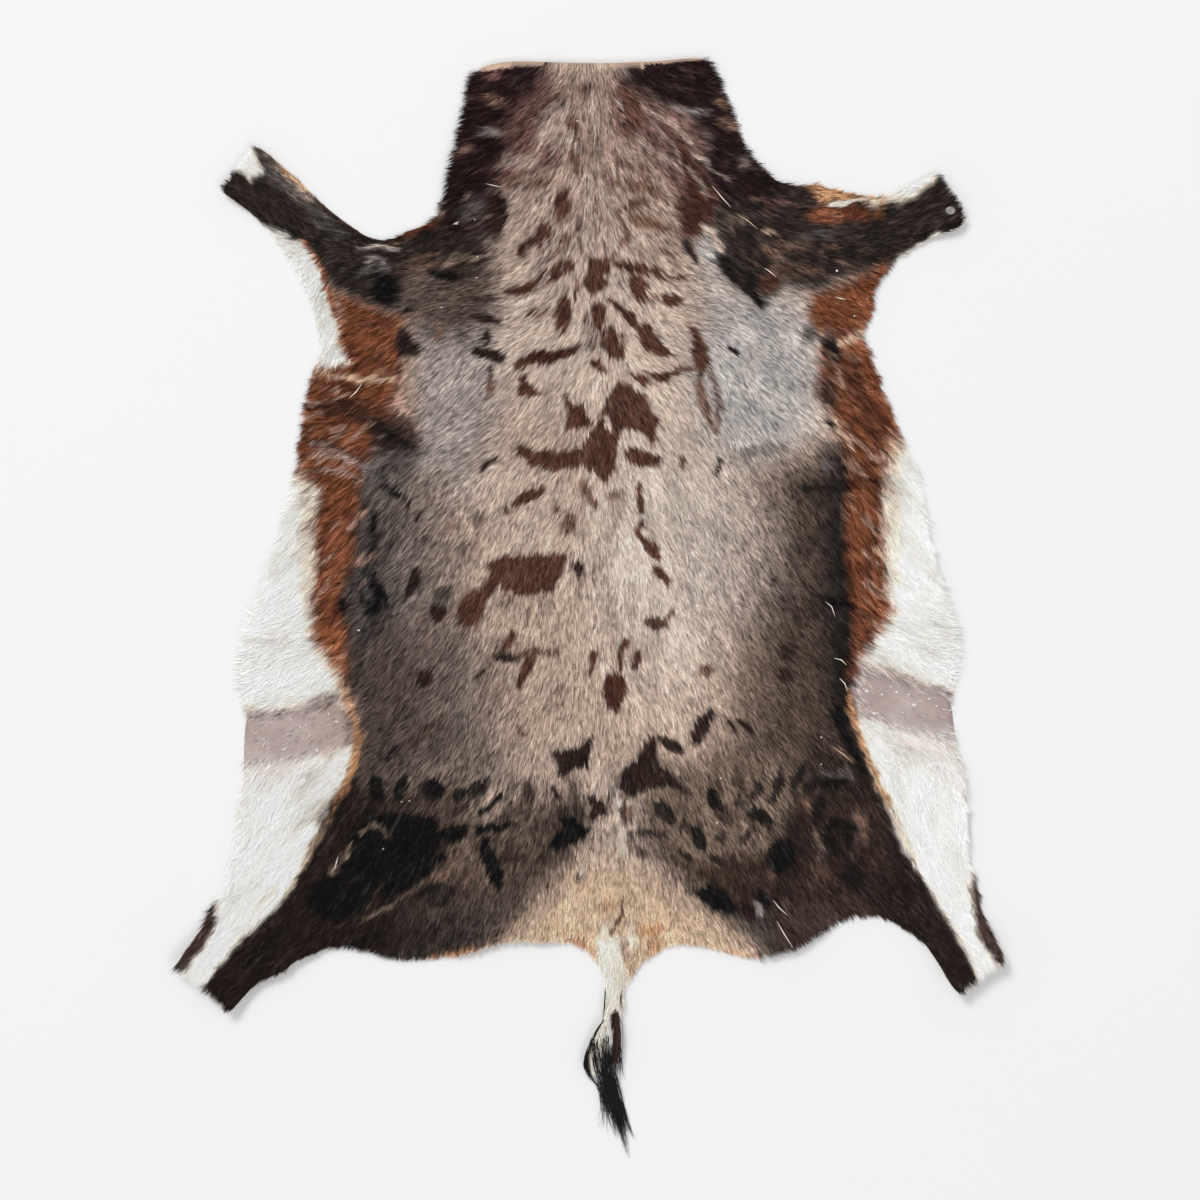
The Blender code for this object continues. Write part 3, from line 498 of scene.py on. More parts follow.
# Patches, spots and strokes from the neck down to the rump
MARKS = [
    Area("brown grey", 34, [(64, -186), (120, -170), (228, -166), (236, -212), (204, -276), (120, -292),
        (76, -262)], 0.75),
    Area("leg brown", 44, [(246, -196), (326, -212), (346, -290), (300, -345), (236, -330)], 0.55),
    Area("brown grey", 40, [(-160, -230), (-70, -215), (-60, -275), (-110, -330), (-165, -300)], 0.3),
    Oval("spot dark", 9, -108, 455, 26, 54),
    Stroke("spot brown", 5, (7, 5, 7), [(-18, 555), (-17, 505), (-3, 480)], 0.8),
    Oval("spot brown", 8, -32, 465, 18, 36, -6),
    Oval("spot brown", 7, -53, 426, 20, 30),
    Stroke("dark chestnut", 5, (10, 9), [(-68, 422), (-80, 410)]),
    Oval("spot brown", 4, -12, 432, 4, 15),
    Oval("spot brown", 4, -11, 415, 5, 10),
    Oval("soft brown", 8, -30, 425, 12, 16),
    Oval("spot brown", 9, -62, 488, 22, 10, 16, 0.7),
    Oval("neck brown", 9, -46, 520, 12, 26, -10, 0.7),
    Oval("neck brown", 9, 62, 500, 14, 26, 24, 0.7),
    Stroke("spot brown", 6, (4, 8, 5), [(6, 470), (10, 448), (4, 430)], 0.6),
    Stroke("spot brown", 6, (4, 8, 5), [(-52, 398), (-40, 410), (-34, 428)], 0.6),
    Oval("soft brown", 8, -92, 490, 15, 8, 0, 0.8),
    Oval("soft brown", 8, -52, 490, 15, 7, 0, 0.8),
    Stroke("spot brown", 6, (6, 11, 12, 15, 16), [(-95, 365), (-75, 367), (-50, 380), (-33, 389),
        (-28, 394)]),
    Area("spot brown", 6, [(-2, 403), (22, 403), (20, 380), (11, 365), (0, 360), (-10, 374), (-4, 390)]),
    Stroke("spot brown", 5, (6, 12, 11, 8, 5, 3), [(30, 398), (45, 392), (60, 392), (75, 387), (90, 381),
        (110, 382)]),
    Oval("spot brown", 7, 55, 370, 20, 34, 10),
    Oval("spot brown", 6, 92, 353, 22, 14),
    Oval("soft brown", 7, 72, 356, 16, 10, 0, 0.7),
    Stroke("soft brown", 7, (6, 12, 10, 6), [(28, 492), (46, 486), (64, 484), (82, 476)]),
    Oval("spot brown", 7, 52, 465, 26, 13, 20, 0.85),
    Stroke("soft brown", 6, (5, 14, 12, 6), [(46, 452), (58, 446), (74, 442), (88, 436)]),
    Stroke("neck brown", 6, (4, 8, 5), [(24, 530), (32, 518), (46, 506)], 0.8),
    Stroke("neck brown", 6, (3, 7, 4), [(20, 504), (22, 492), (24, 480)], 0.7),
    Stroke("neck brown", 6, (4, 7, 4), [(84, 500), (100, 488), (112, 470)], 0.7),
    Stroke("soft brown", 4, (4, 5, 5, 4, 3), [(30, 458), (38, 440), (40, 428), (30, 412), (22, 400)]),
    Stroke("soft brown", 4, (4, 3), [(85, 410), (95, 402)]),
    Stroke("spot dark", 6, (8, 5), [(110, 421), (121, 398)]),
    Oval("spot brown", 6, -60, 340, 25, 14),
    Stroke("spot brown", 6, (12, 20, 12), [(-28, 354), (-30, 340), (-34, 322)]),
    Stroke("soft brown", 4, (4, 3), [(-17, 378), (-15, 355)]),
    Stroke("spot brown", 6, (16, 22, 12, 8), [(10, 344), (4, 334), (3, 318), (0, 302)]),
    Stroke("dark chestnut", 5, (8, 11, 14, 15, 9), [(0, 302), (-22, 296), (-45, 289), (-64, 290),
        (-76, 285)]),
    Oval("spot brown", 5, -79, 279, 11, 10),
    Area("spot brown", 6, [(12, 319), (30, 325), (39, 315), (38, 288), (22, 290), (12, 302)]),
    Stroke("dark chestnut", 4, (3, 7, 10, 5), [(22, 356), (38, 340), (48, 328), (57, 322)]),
    Stroke("spot brown", 6, (18, 24, 16, 4), [(63, 318), (70, 308), (78, 300), (90, 291)]),
    Area("spot brown", 6, [(112, 328), (122, 320), (134, 302), (136, 280), (126, 265), (118, 284),
        (116, 302)]),
    Stroke("spot brown", 5, (6, 15, 14, 8, 3, 3), [(48, 268), (60, 267), (76, 263), (90, 268), (104, 276),
        (118, 276)]),
    Stroke("spot brown", 4, (8, 5), [(6, 283), (16, 272)]),
    Area("spot brown", 5, [(-81, 267), (-71, 263), (-60, 248), (-52, 245), (-82, 244)]),
    Area("spot brown", 5, [(-29, 246), (-22, 234), (-12, 235), (-4, 222), (5, 210), (-12, 209),
        (-28, 206), (-25, 222)]),
    Area("spot brown", 6, [(33, 262), (50, 254), (62, 245), (68, 235), (71, 225), (78, 216), (76, 203),
        (78, 193), (71, 187), (66, 196), (58, 205), (45, 205), (34, 207), (32, 200), (28, 175), (28, 160),
        (22, 150), (17, 144), (11, 150), (5, 160), (0, 177), (-10, 182), (0, 192), (6, 204), (14, 226),
        (22, 246)]),
    Stroke("light taupe", 3, (3, 2), [(17, 220), (24, 200)]),
    Stroke("spot brown", 6, (18, 20, 20, 20, 12), [(0, 178), (-20, 172), (-45, 170), (-65, 174),
        (-78, 181)]),
    Area("spot brown", 6, [(4, 204), (-8, 184), (-4, 160), (28, 158), (30, 200), (18, 206)]),
    Area("spot brown", 5, [(38, 180), (48, 185), (60, 182), (83, 172), (75, 166), (60, 163), (42, 171)]),
    Oval("soft brown", 4, 105, 170, 6, 15),
    Stroke("spot dark", 5, (6, 4), [(-125, 162), (-110, 172)]),
    Stroke("soft brown", 8, (6, 10, 7), [(126, 262), (130, 236), (136, 212)]),
    Stroke("spot brown", 7, (4, 7, 9, 6), [(138, 274), (145, 250), (147, 228), (144, 206)], 0.75),
    Stroke("spot dark", 3, (4, 3), [(159, 301), (169, 294)]),
    Stroke("spot dark", 4, (5, 3), [(150, 172), (143, 153)]),
    Stroke("dark grey", 14, (5, 9, 4), [(165, 175), (200, 183), (226, 187)], 0.7),
    Stroke("spot brown", 5, (6, 12, 6), [(-86, 121), (-70, 130), (-54, 138)]),
    Oval("soft brown", 4, -95, 112, 9, 7),
    Oval("soft brown", 8, -25, 98, 18, 24),
    Oval("soft brown", 5, -40, 115, 9, 8),
    Stroke("soft brown", 7, (10, 8), [(-8, 141), (5, 120)]),
    Oval("soft brown", 8, 28, 130, 18, 14, 0, 0.7),
    Stroke("spot brown", 4, (4, 7, 6), [(56, 140), (57, 126), (58, 112)]),
    Stroke("spot brown", 5, (7, 7, 10, 10, 6), [(56, 98), (56, 84), (64, 74), (72, 65), (77, 58)]),
    Stroke("spot brown", 4, (8, 5), [(75, 45), (89, 31)]),
    Area("spot brown", 6, [(-118, 50), (-110, 57), (-90, 60), (-60, 62), (-35, 64), (-26, 62), (-32, 42),
        (-38, 32), (-45, 23), (-55, 18), (-70, 17), (-85, 18), (-100, 24), (-112, 38)]),
    Stroke("spot brown", 6, (14, 15, 12), [(-104, 38), (-114, 28), (-126, 14)]),
    Oval("spot brown", 8, -137, 0, 28, 46, -14),
    Oval("spot dark", 4, -14, 46, 9, 16),
    Oval("spot brown", 4, 75, -17, 27, 13, -14, 0.95),
    Stroke("spot brown", 4, (5, 4, 2), [(86, -14), (93, -8), (97, 1)], 0.8),
    Stroke("spot brown", 5, (9, 7), [(-90, -30), (-101, -46)]),
    Oval("spot dark", 6, -97, -56, 30, 10, -8),
    Stroke("spot brown", 5, (8, 12, 8), [(-64, -47), (-73, -65), (-81, -86)]),
    Stroke("soft brown", 5, (5, 6, 4), [(-82, -52), (-60, -49), (-36, -51)]),
    Stroke("spot brown", 4, (6, 8, 4), [(5, -51), (3, -61), (0, -72)]),
    Stroke("spot brown", 4, (6, 6, 4), [(42, -38), (36, -48), (34, -70)]),
    Stroke("spot brown", 4, (5, 5), [(53, -50), (53, -66)]),
    Area("dark chestnut", 5, [(18, -79), (30, -75), (39, -77), (41, -90), (37, -105), (32, -117),
        (27, -120), (18, -109), (14, -98)]),
    Stroke("soft brown", 3, (3, 2), [(-84, -136), (-76, -145)]),
    Area("spot dark", 5, [(-45, -163), (-30, -164), (-15, -160), (2, -148), (0, -170), (-5, -182),
        (-20, -183), (-28, -190), (-38, -194), (-42, -172)]),
    Stroke("spot dark", 5, (9, 5), [(82, -150), (106, -164)]),
    Stroke("spot dark", 7, (8, 15, 12), [(139, -120), (128, -136), (121, -149)]),
    Stroke("spot brown", 6, (8, 14, 14), [(70, -150), (66, -165), (62, -180)]),
    Area("spot dark", 7, [(38, -182), (54, -172), (58, -156), (70, -150), (78, -174), (92, -190),
        (117, -212), (82, -204), (60, -210), (45, -216), (30, -204)]),
    Oval("spot brown", 6, 41, -236, 13, 20, 0, 0.8),
    Oval("spot dark", 8, -73, -207, 12, 24, 10, 0.85),
    Stroke("spot dark", 5, (6, 5), [(-45, -205), (-36, -216)]),
    Stroke("black", 5, (6, 4), [(-100, -214), (-126, -236)]),
    Oval("spot dark", 8, -30, -230, 14, 12, 30, 0.8),
    Stroke("spot dark", 6, (10, 15, 8), [(4, -219), (11, -229), (2, -238)]),
    Area("black", 6, [(-36, -240), (-22, -236), (-8, -246), (0, -254), (-6, -262), (-22, -270),
        (-40, -277), (-48, -272), (-43, -259), (-28, -256)]),
    Stroke("black", 5, (10, 8, 3), [(-130, -254), (-108, -250), (-89, -245)]),
    Oval("spot dark", 9, -88, -287, 30, 9, 8, 0.8),
    Oval("spot dark", 6, -56, -287, 16, 6, 20, 0.8),
    Oval("spot dark", 6, -12, -308, 12, 7, 30, 0.7),
    Oval("pale taupe", 8, -9, -300, 6, 10, 0, 0.7),
    Oval("spot dark", 6, 57, -280, 16, 7, -24, 0.85),
    Stroke("spot dark", 6, (5, 8, 4), [(-132, 336), (-116, 332), (-102, 329)]),
    Stroke("spot dark", 4, (5, 5), [(-118, 320), (-120, 305)]),
    Stroke("spot dark", 6, (9, 14, 12), [(-130, 296), (-117, 293), (-105, 289)]),
    Stroke("spot dark", 4, (5, 3), [(-115, 276), (-117, 264)]),
    Oval("soft brown", 7, -115, 255, 10, 20),
    Area("spot dark", 7, [(-222, 322), (-210, 320), (-203, 306), (-190, 298), (-204, 291), (-222, 292)]),
    Oval("soft brown", 6, -174, 316, 10, 16),
    Stroke("spot dark", 4, (3, 5, 3), [(-132, 357), (-120, 355), (-106, 356)], 0.8),
    Oval("black", 4, -208, 344, 8, 4),
    Stroke("black", 5, (5, 7, 4), [(-236, 142), (-225, 134), (-213, 127)]),
    Oval("black", 5, -248, 98, 8, 20),
    Oval("black", 5, -248, 68, 6, 16),
    Oval("black", 9, -250, 15, 24, 52, 6),
    Oval("blue grey", 6, -256, 22, 7, 20, 6, 0.7),
    Stroke("black", 4, (4, 3), [(-236, 18), (-233, 2)]),
    Oval("black", 5, -283, 5, 8, 14),
    Stroke("spot dark", 5, (12, 13, 4), [(-200, 42), (-204, 28), (-212, 14)]),
    Stroke("spot dark", 3, (3, 3), [(-195, 110), (-199, 103)]),
    Stroke("spot dark", 3, (3, 3), [(-206, 122), (-210, 114)]),
    Oval("spot dark", 6, -174, -5, 22, 17, 30),
    Oval("soft black", 8, -170, 15, 18, 14, 0, 0.6),
    Oval("soft black", 8, -145, 72, 14, 12, 0, 0.6),
    Oval("soft black", 8, -130, 104, 16, 10, 20, 0.6),
    Oval("spot dark", 8, -190, -80, 20, 20),
    Stroke("spot dark", 4, (4, 3), [(-121, -70), (-129, -80)]),
    Oval("blue grey", 10, -262, -25, 16, 26, 0, 0.7),
    Stroke("dark taupe", 8, (12, 18, 10), [(-206, -154), (-188, -140), (-169, -126)]),
    Oval("spot dark", 6, -220, -105, 10, 8, 20, 0.8),
    Stroke("black", 4, (5, 3), [(-224, -158), (-232, -172)]),
    Oval("black", 8, -162, -259, 32, 17, 14),
    Oval("black", 5, -172, -285, 14, 9, 20),
    Stroke("black", 5, (11, 16, 16, 9), [(-121, -268), (-116, -288), (-110, -304), (-105, -318)]),
    Stroke("black", 5, (5, 4), [(-184, -322), (-197, -328)]),
    Stroke("spot dark", 4, (5, 3), [(212, 36), (208, 24)], 0.8),
    Oval("spot dark", 8, 225, -52, 20, 15, -20, 0.9),
    Oval("spot dark", 8, 225, -75, 18, 15, -20, 0.9),
    Oval("soft brown", 7, 133, -70, 14, 12, -20),
    Oval("blue grey", 8, 272, 165, 14, 14),
    Oval("black", 4, 275, 213, 7, 5),
    Stroke("spot dark", 4, (4, 5), [(170, -129), (184, -141)]),
    Stroke("spot dark", 3, (3, 3), [(160, -129), (166, -139)]),
    Oval("soft black", 6, 216, -195, 8, 20, -10, 0.9),
    Oval("blue grey", 8, 274, -189, 22, 10, 10, 0.6),
    Oval("grey", 9, 292, -190, 16, 14, 0, 0.45),
    Stroke("soft brown", 6, (3, 5, 3), [(280, -160), (290, -167), (301, -176)]),
    Stroke("black", 7, (12, 10, 9, 5), [(284, -118), (290, -142), (302, -166), (314, -188)]),
    Oval("soft brown", 10, 246, -226, 16, 14, -30, 0.8),
    Oval("soft brown", 8, 312, -252, 11, 30, 16, 0.8),
    Stroke("neck brown", 8, (4, 8, 5), [(272, -254), (284, -262), (292, -276)], 0.8),
    Oval("black", 12, 300, -308, 26, 36, 20, 0.8),
    Oval("soft brown", 14, 262, -308, 30, 22, -30, 0.5),
    Area("black", 7, [(120, -328), (128, -321), (136, -316), (142, -322), (152, -323), (163, -333),
        (169, -346), (160, -350), (150, -345), (142, -348), (136, -341)]),
    Oval("maroon", 9, 184, -348, 28, 14, -14),
    Oval("black", 7, 199, -334, 11, 20, 10),
    Oval("grey", 5, 193, -346, 6, 13, 10, 0.8),
    Oval("soft brown", 8, 206, -310, 9, 18, 0, 0.8),
    Area("black", 9, [(-278, -262), (-250, -258), (-240, -268), (-228, -262), (-222, -250), (-240, -240),
        (-232, -233), (-212, -248), (-205, -252), (-182, -240), (-178, -252), (-185, -275), (-192, -285),
        (-185, -300), (-200, -318), (-215, -325), (-232, -333), (-250, -320), (-258, -335), (-265, -345),
        (-285, -355), (-310, -345), (-318, -330), (-300, -305), (-285, -300), (-280, -285)]),
    Oval("grey", 6, -253, -245, 10, 9, 0, 0.7),
    Oval("grey", 7, -238, -258, 24, 6, 20, 0.5),
    Stroke("soft brown", 5, (3, 4), [(-270, -270), (-284, -280)], 0.8),
    Oval("brown grey", 7, -292, -300, 12, 11, 0, 0.8),
    Stroke("soft brown", 4, (4, 3), [(-274, -312), (-282, -320)]),
    Stroke("soft brown", 5, (5, 6, 4), [(-242, -315), (-250, -329), (-258, -344)]),
    Stroke("brown grey", 6, (3, 5, 3), [(-226, -342), (-244, -350), (-263, -356)], 0.55),
    Oval("brown grey", 6, -215, -331, 12, 5, 30, 0.5),
    Stroke("brown grey", 5, (3, 4, 2), [(-180, -307), (-192, -316), (-204, -325)], 0.55),
    Stroke("soft brown", 6, (5, 8, 4), [(-150, -275), (-165, -300), (-182, -316)], 0.6),
    Stroke("soft brown", 6, (4, 7, 4), [(-132, -290), (-140, -312), (-156, -332)], 0.6),
    Stroke("black", 6, (5, 8, 4), [(-240, -372), (-262, -382), (-286, -396)], 0.7),
    Stroke("black", 6, (6, 10, 6), [(-352, -366), (-376, -388), (-402, -410)], 0.7),
    Oval("soft black", 16, -300, -238, 40, 30, 40, 0.6),
    Area("black", 7, [(-278, -275), (-260, -240), (-231, -234), (-178, -240), (-169, -258), (-184, -305),
        (-201, -316), (-236, -310), (-260, -352), (-295, -360), (-325, -346), (-319, -316), (-292, -308)],
        0.96),
    Stroke("brown grey", 4, (2, 4, 3, 2), [(-262, -258), (-250, -247), (-240, -252), (-232, -262)], 0.8),
    Stroke("brown grey", 4, (2, 3, 2), [(-286, -292), (-281, -282), (-279, -272)], 0.7),
    Oval("black", 2.5, -245, -207, 17, 30, 10, 0.95),
    Oval("black", 2.5, -217, -205, 14, 28, -12, 0.95),
    Oval("black", 2.5, -181, -208, 25, 28, 30, 0.95),
    Oval("soft black", 2.5, -150, -213, 20, 12, 30, 0.95),
    Oval("soft black", 2.5, -131, -205, 22, 12, 40, 0.95),
    Oval("soft black", 2.5, -119, -203, 10, 22, -20, 0.9),
    Oval("soft black", 2.5, -90, -205, 10, 18, 20, 0.6),
    Oval("black", 2.5, -158, -257, 32, 15, 18, 0.9),
    Oval("soft black", 2.5, -176, -328, 40, 26, 10, 0.8),
    Oval("spot dark", 2.5, 94, -158, 21, 12, -30, 0.95),
    Oval("black", 2.5, 141, -219, 28, 13, -58, 0.95),
    Oval("black", 2.5, 196, -239, 30, 14, -24, 0.95),
    Oval("soft black", 2.5, 85, -234, 32, 18, -50, 0.9),
    Oval("black", 2.5, 125, -263, 30, 12, -64, 0.95),
    Oval("soft black", 2.5, 68, -257, 30, 8, -10, 0.8),
    Oval("black", 2.5, 218, -284, 30, 42, -20, 0.95),
    Oval("soft black", 2.5, 191, -208, 22, 9, 70, 0.9),
    Oval("soft black", 2.5, 215, -207, 28, 8, 60, 0.9),
    Oval("soft black", 2.5, 238, -194, 30, 9, 62, 0.9),
    Oval("soft black", 2.5, 256, -202, 26, 11, 40, 0.9),
    Oval("black", 2.5, 281, -200, 30, 12, 10, 0.9),
    Oval("soft black", 2.5, 262, -231, 34, 13, 74, 0.9),
    Oval("black", 2.5, 284, -262, 34, 44, 0, 0.8),
    Oval("soft black", 2.5, 108, -248, 12, 8, 30, 0.8),
    Oval("soft black", 2.5, 150, -262, 12, 7, 50, 0.8),
    Oval("soft black", 2.5, 147, -290, 18, 9, -40, 0.8),
    Oval("soft black", 2.5, 110, -285, 16, 7, -40, 0.8),
    Oval("soft black", 2.5, 179, -262, 20, 8, 50, 0.7),
    Oval("soft black", 2.5, 172, -224, 14, 7, -30, 0.7),
    Stroke("brown grey", 5, (2, 5, 2), [(258, -258), (266, -274), (262, -290)], 0.5),
    Stroke("soft brown", 5, (2, 5, 3), [(308, -232), (316, -248), (314, -266)], 0.5),
]

# The tail's dark edge and pale middle
TAIL = [
    Stroke("soft black", 4, (3, 8, 8, 7, 4), [(27, -466), (30, -478), (30, -495), (27, -515),
        (25, -530)]),
    Stroke("grey white", 5, (4, 9, 12), [(10, -505), (12, -520), (14, -540)], 0.6),
]

COAT = GROUND + NECK + FLANKS + WHITES + MARKS + TAIL

# Every mark reaches this far past its charted rim, in millimetres
SPREAD = 1.0

# Lie of the hair: at each place, the way from a hair's root to its tip
LIE = (
    (0, 630, 0, -1), (-60, 600, -0.8, -0.6), (-130, 600, -1, -0.25), (-150, 540, -1, -0.2),
    (60, 600, 0.8, -0.5), (130, 600, 1, -0.15), (165, 540, 1, -0.15), (60, 545, 0.7, -0.7),
    (0, 540, 0, -1), (-60, 530, -0.75, -0.65), (-30, 480, -0.35, -0.94), (35, 480, 0.45, -0.9),
    (-120, 470, -0.85, -0.5), (130, 470, 0.8, -0.6), (-180, 420, -0.85, -0.4), (190, 420, 0.75, -0.6),
    (-250, 420, -0.85, 0.3), (-330, 460, -0.8, 0.6), (-400, 510, -0.75, 0.65), (-250, 380, -0.75, -0.3),
    (250, 440, 0.9, -0.05), (320, 455, 0.9, 0.3), (400, 480, 0.85, 0.4), (250, 380, 0.85, -0.45),
    (-330, 370, -0.45, -0.9), (-310, 300, -0.4, -0.92), (-290, 320, -0.8, -0.45), (310, 350, 0.8, -0.5),
    (-60, 340, -0.8, -0.6), (-120, 340, -0.98, -0.15), (60, 350, 0.6, -0.8), (120, 340, 0.95, -0.3),
    (0, 350, 0, -1), (-30, 290, -0.6, -0.8), (100, 290, 0.85, -0.5), (-60, 200, -0.6, -0.8),
    (60, 220, 0.5, -0.86), (0, 200, 0, -1), (0, 0, 0, -1), (-140, 200, -0.85, -0.5),
    (130, 210, 0.6, -0.8), (-150, 260, -0.62, -0.78), (150, 260, 0.6, -0.8), (-250, 270, -0.85, -0.5),
    (260, 270, 0.75, -0.66), (-310, 240, -0.97, -0.25), (320, 240, 0.75, -0.66), (-330, 180, -0.85, -0.5),
    (350, 180, 0.7, -0.7), (-100, 100, -0.4, -0.92), (100, 100, 0.4, -0.92), (-230, 100, -0.6, -0.8),
    (230, 100, 0.55, -0.83), (-300, 60, -0.7, -0.7), (310, 60, 0.6, -0.8), (-360, 60, -0.65, -0.76),
    (370, 90, 0.5, -0.86), (-395, -40, -0.97, -0.25), (400, -35, 0.95, -0.3), (-340, -50, -0.8, -0.6),
    (360, -50, 0.8, -0.6), (-380, -110, -0.9, -0.4), (400, -100, 0.85, -0.5), (-100, -100, -0.35, -0.94),
    (100, -100, 0.4, -0.92), (-220, -80, -0.6, -0.8), (220, -80, 0.6, -0.8), (-290, -120, -0.8, -0.6),
    (300, -120, 0.75, -0.66), (-360, -220, -0.55, -0.83), (380, -220, 0.42, -0.9),
    (-400, -330, -0.6, -0.8), (430, -330, 0.5, -0.86), (-445, -410, -0.66, -0.75),
    (455, -410, 0.5, -0.86), (-250, -260, -0.55, -0.83), (250, -260, 0.5, -0.87),
    (-340, -340, -0.66, -0.75), (350, -330, 0.62, -0.78), (-400, -410, -0.72, -0.7),
    (430, -420, 0.6, -0.8), (-120, -260, -0.4, -0.9), (120, -260, 0.42, -0.9), (-150, -370, -0.35, -0.94),
    (160, -360, 0.45, -0.9), (0, -200, 0, -1), (0, -300, -0.05, -1), (60, -330, 0.1, -1),
    (20, -400, 0, -1), (20, -470, -0.15, -1), (0, -530, 0.2, -1),
)

# The grid of the lie, in millimetres: its half width and half height, its cells, and how far a place reaches
CHART_HALF = (540.0, 700.0)
LIE_CELL = 10.0
LIE_REACH = 26.0

# Length of the hair in millimetres inside an area, over the plain body length
BODY_LENGTH = 8.5
Length = namedtuple("Length", "length edge points")
LENGTHS = (
    Length(13.0, 30, [(-350, 290), (-225, 330), (-225, 150), (-270, -100), (-350, -60), (-350, 150)]),
    Length(13.0, 30, [(250, 330), (350, 330), (365, 150), (350, -60), (300, -80), (290, 150)]),
    Length(20.0, 40, [(-460, 150), (-330, 150), (-320, -20), (-300, -110), (-460, -110)]),
    Length(20.0, 40, [(460, 170), (350, 170), (345, 0), (310, -70), (460, -110)]),
    Length(12.0, 30, [(-190, 420), (-100, 420), (-100, 660), (-220, 660)]),
    Length(12.0, 30, [(120, 420), (190, 420), (260, 500), (200, 660), (110, 660)]),
    Length(7.5, 30, [(-460, 560), (-460, 430), (-300, 380), (-240, 400), (-300, 470)]),
    Length(7.5, 30, [(460, 560), (460, 400), (330, 400), (300, 470)]),
    Length(14.0, 30, [(-480, -440), (-480, -190), (-330, -190), (-300, -250), (-430, -440)]),
    Length(6.0, 30, [(-110, -360), (-10, -290), (60, -290), (150, -360), (130, -430), (-110, -430)]),
    Length(14.0, 30, [(480, -440), (480, -170), (330, -170), (340, -250), (440, -440)]),
)

# Bare skin of the groins, and the bare cut at the neck with its pale line
Bare = namedtuple("Bare", "part edge points")
BARE = (
    Bare(0.97, 16, [(-283, -103), (-300, -106), (-330, -112), (-350, -118), (-372, -123), (-440, -116),
        (-440, -178), (-400, -178), (-360, -176), (-330, -172), (-310, -166), (-285, -158),
        (-275, -148)]),
    Bare(0.75, 40, [(-440, -170), (-300, -165), (-300, -182), (-360, -205), (-440, -222)]),
    Bare(0.97, 16, [(314, -66), (332, -71), (352, -77), (372, -85), (392, -93), (440, -110), (440, -150),
        (400, -146), (370, -138), (345, -132), (325, -123), (312, -116), (305, -98)]),
    Bare(0.75, 40, [(440, -145), (345, -132), (340, -150), (400, -190), (440, -200)]),
    Bare(0.98, 3, [(-128, 640), (-128, 615), (-90, 621), (-52, 623), (-52, 640)]),
    Bare(0.98, 3, [(16, 640), (20, 621), (60, 620), (66, 640)]),
    Bare(0.98, 3, [(60, 640), (62, 625), (100, 627), (134, 628), (134, 640)]),
)
BARE_CUT_TONE = (196, 168, 146)
BARE_CUT_START = 610.0
BARE_CUT_FADE = 6.0

# Places along a hair that stay clear of the peg hole, as shares of its length
HOLE_SHARES = (0.0, 0.35, 0.7, 1.0)

# Flecks of another tone strewn over an area: part is their strength, level how rare they are
Fleck = namedtuple("Fleck", "tone part level edge points")
FLECKS = (
    Fleck("spot brown", 0.50, 0.75, 60, [(-75, 610), (75, 610), (125, 330), (-105, 330)]),
    Fleck("pale taupe", 0.40, 0.80, 60, [(-60, 600), (60, 600), (110, 250), (-100, 250)]),
    Fleck("maroon", 0.55, 0.55, 40, [(-110, 600), (-40, 600), (-60, 480), (-115, 470)]),
    Fleck("spot dark", 0.70, 0.55, 60, [(-280, -190), (0, -200), (290, -165), (350, -330), (200, -370),
        (60, -280), (0, -275), (-60, -290), (-200, -370), (-320, -330)]),
    Fleck("dark taupe", 0.50, 0.80, 50, [(-330, -240), (330, -240), (400, -400), (210, -380),
        (-210, -380), (-400, -400)]),
    Fleck("brown grey", 0.45, 0.85, 40, [(-230, 470), (-105, 490), (-105, 385), (-215, 385)]),
    Fleck("soft brown", 0.45, 0.75, 40, [(150, 470), (310, 450), (310, 380), (180, 380)]),
    Fleck("neck brown", 0.35, 1.10, 80, [(-230, 150), (120, 150), (120, -170), (-230, -170)]),
    Fleck("soft black", 0.45, 0.75, 50, [(-290, 160), (-205, 150), (-200, -170), (-275, -170)]),
    Fleck("black", 0.40, 0.85, 50, [(205, 160), (295, 160), (290, -190), (205, -190)]),
    Fleck("dark chestnut", 0.55, 0.65, 24, [(-330, 270), (-225, 270), (-255, 60), (-320, -20),
        (-330, 60)]),
    Fleck("dark chestnut", 0.55, 0.70, 24, [(268, 300), (340, 300), (345, 150), (345, 0), (305, -60),
        (296, 100)]),
    Fleck("pink brown", 0.50, 0.75, 30, [(-340, 290), (-240, 290), (-250, 60), (-285, -60), (-340, 60)]),
    Fleck("pink brown", 0.50, 0.75, 30, [(275, 290), (350, 290), (352, 100), (330, -60), (300, 60)]),
)
LIGHT_FLECKS = ("pale taupe", "pink brown", "brown grey", "soft brown")
FLECK_TUFTS = 0.25
FLECK_FADE = 0.5

# Over the tail's root the coat is plain
PLAIN_EDGE = 30.0
PLAIN_AREA = [
    (-95, -370), (-40, -310), (0, -275), (50, -280), (90, -320), (160, -375), (130, -450), (-110, -450),
]
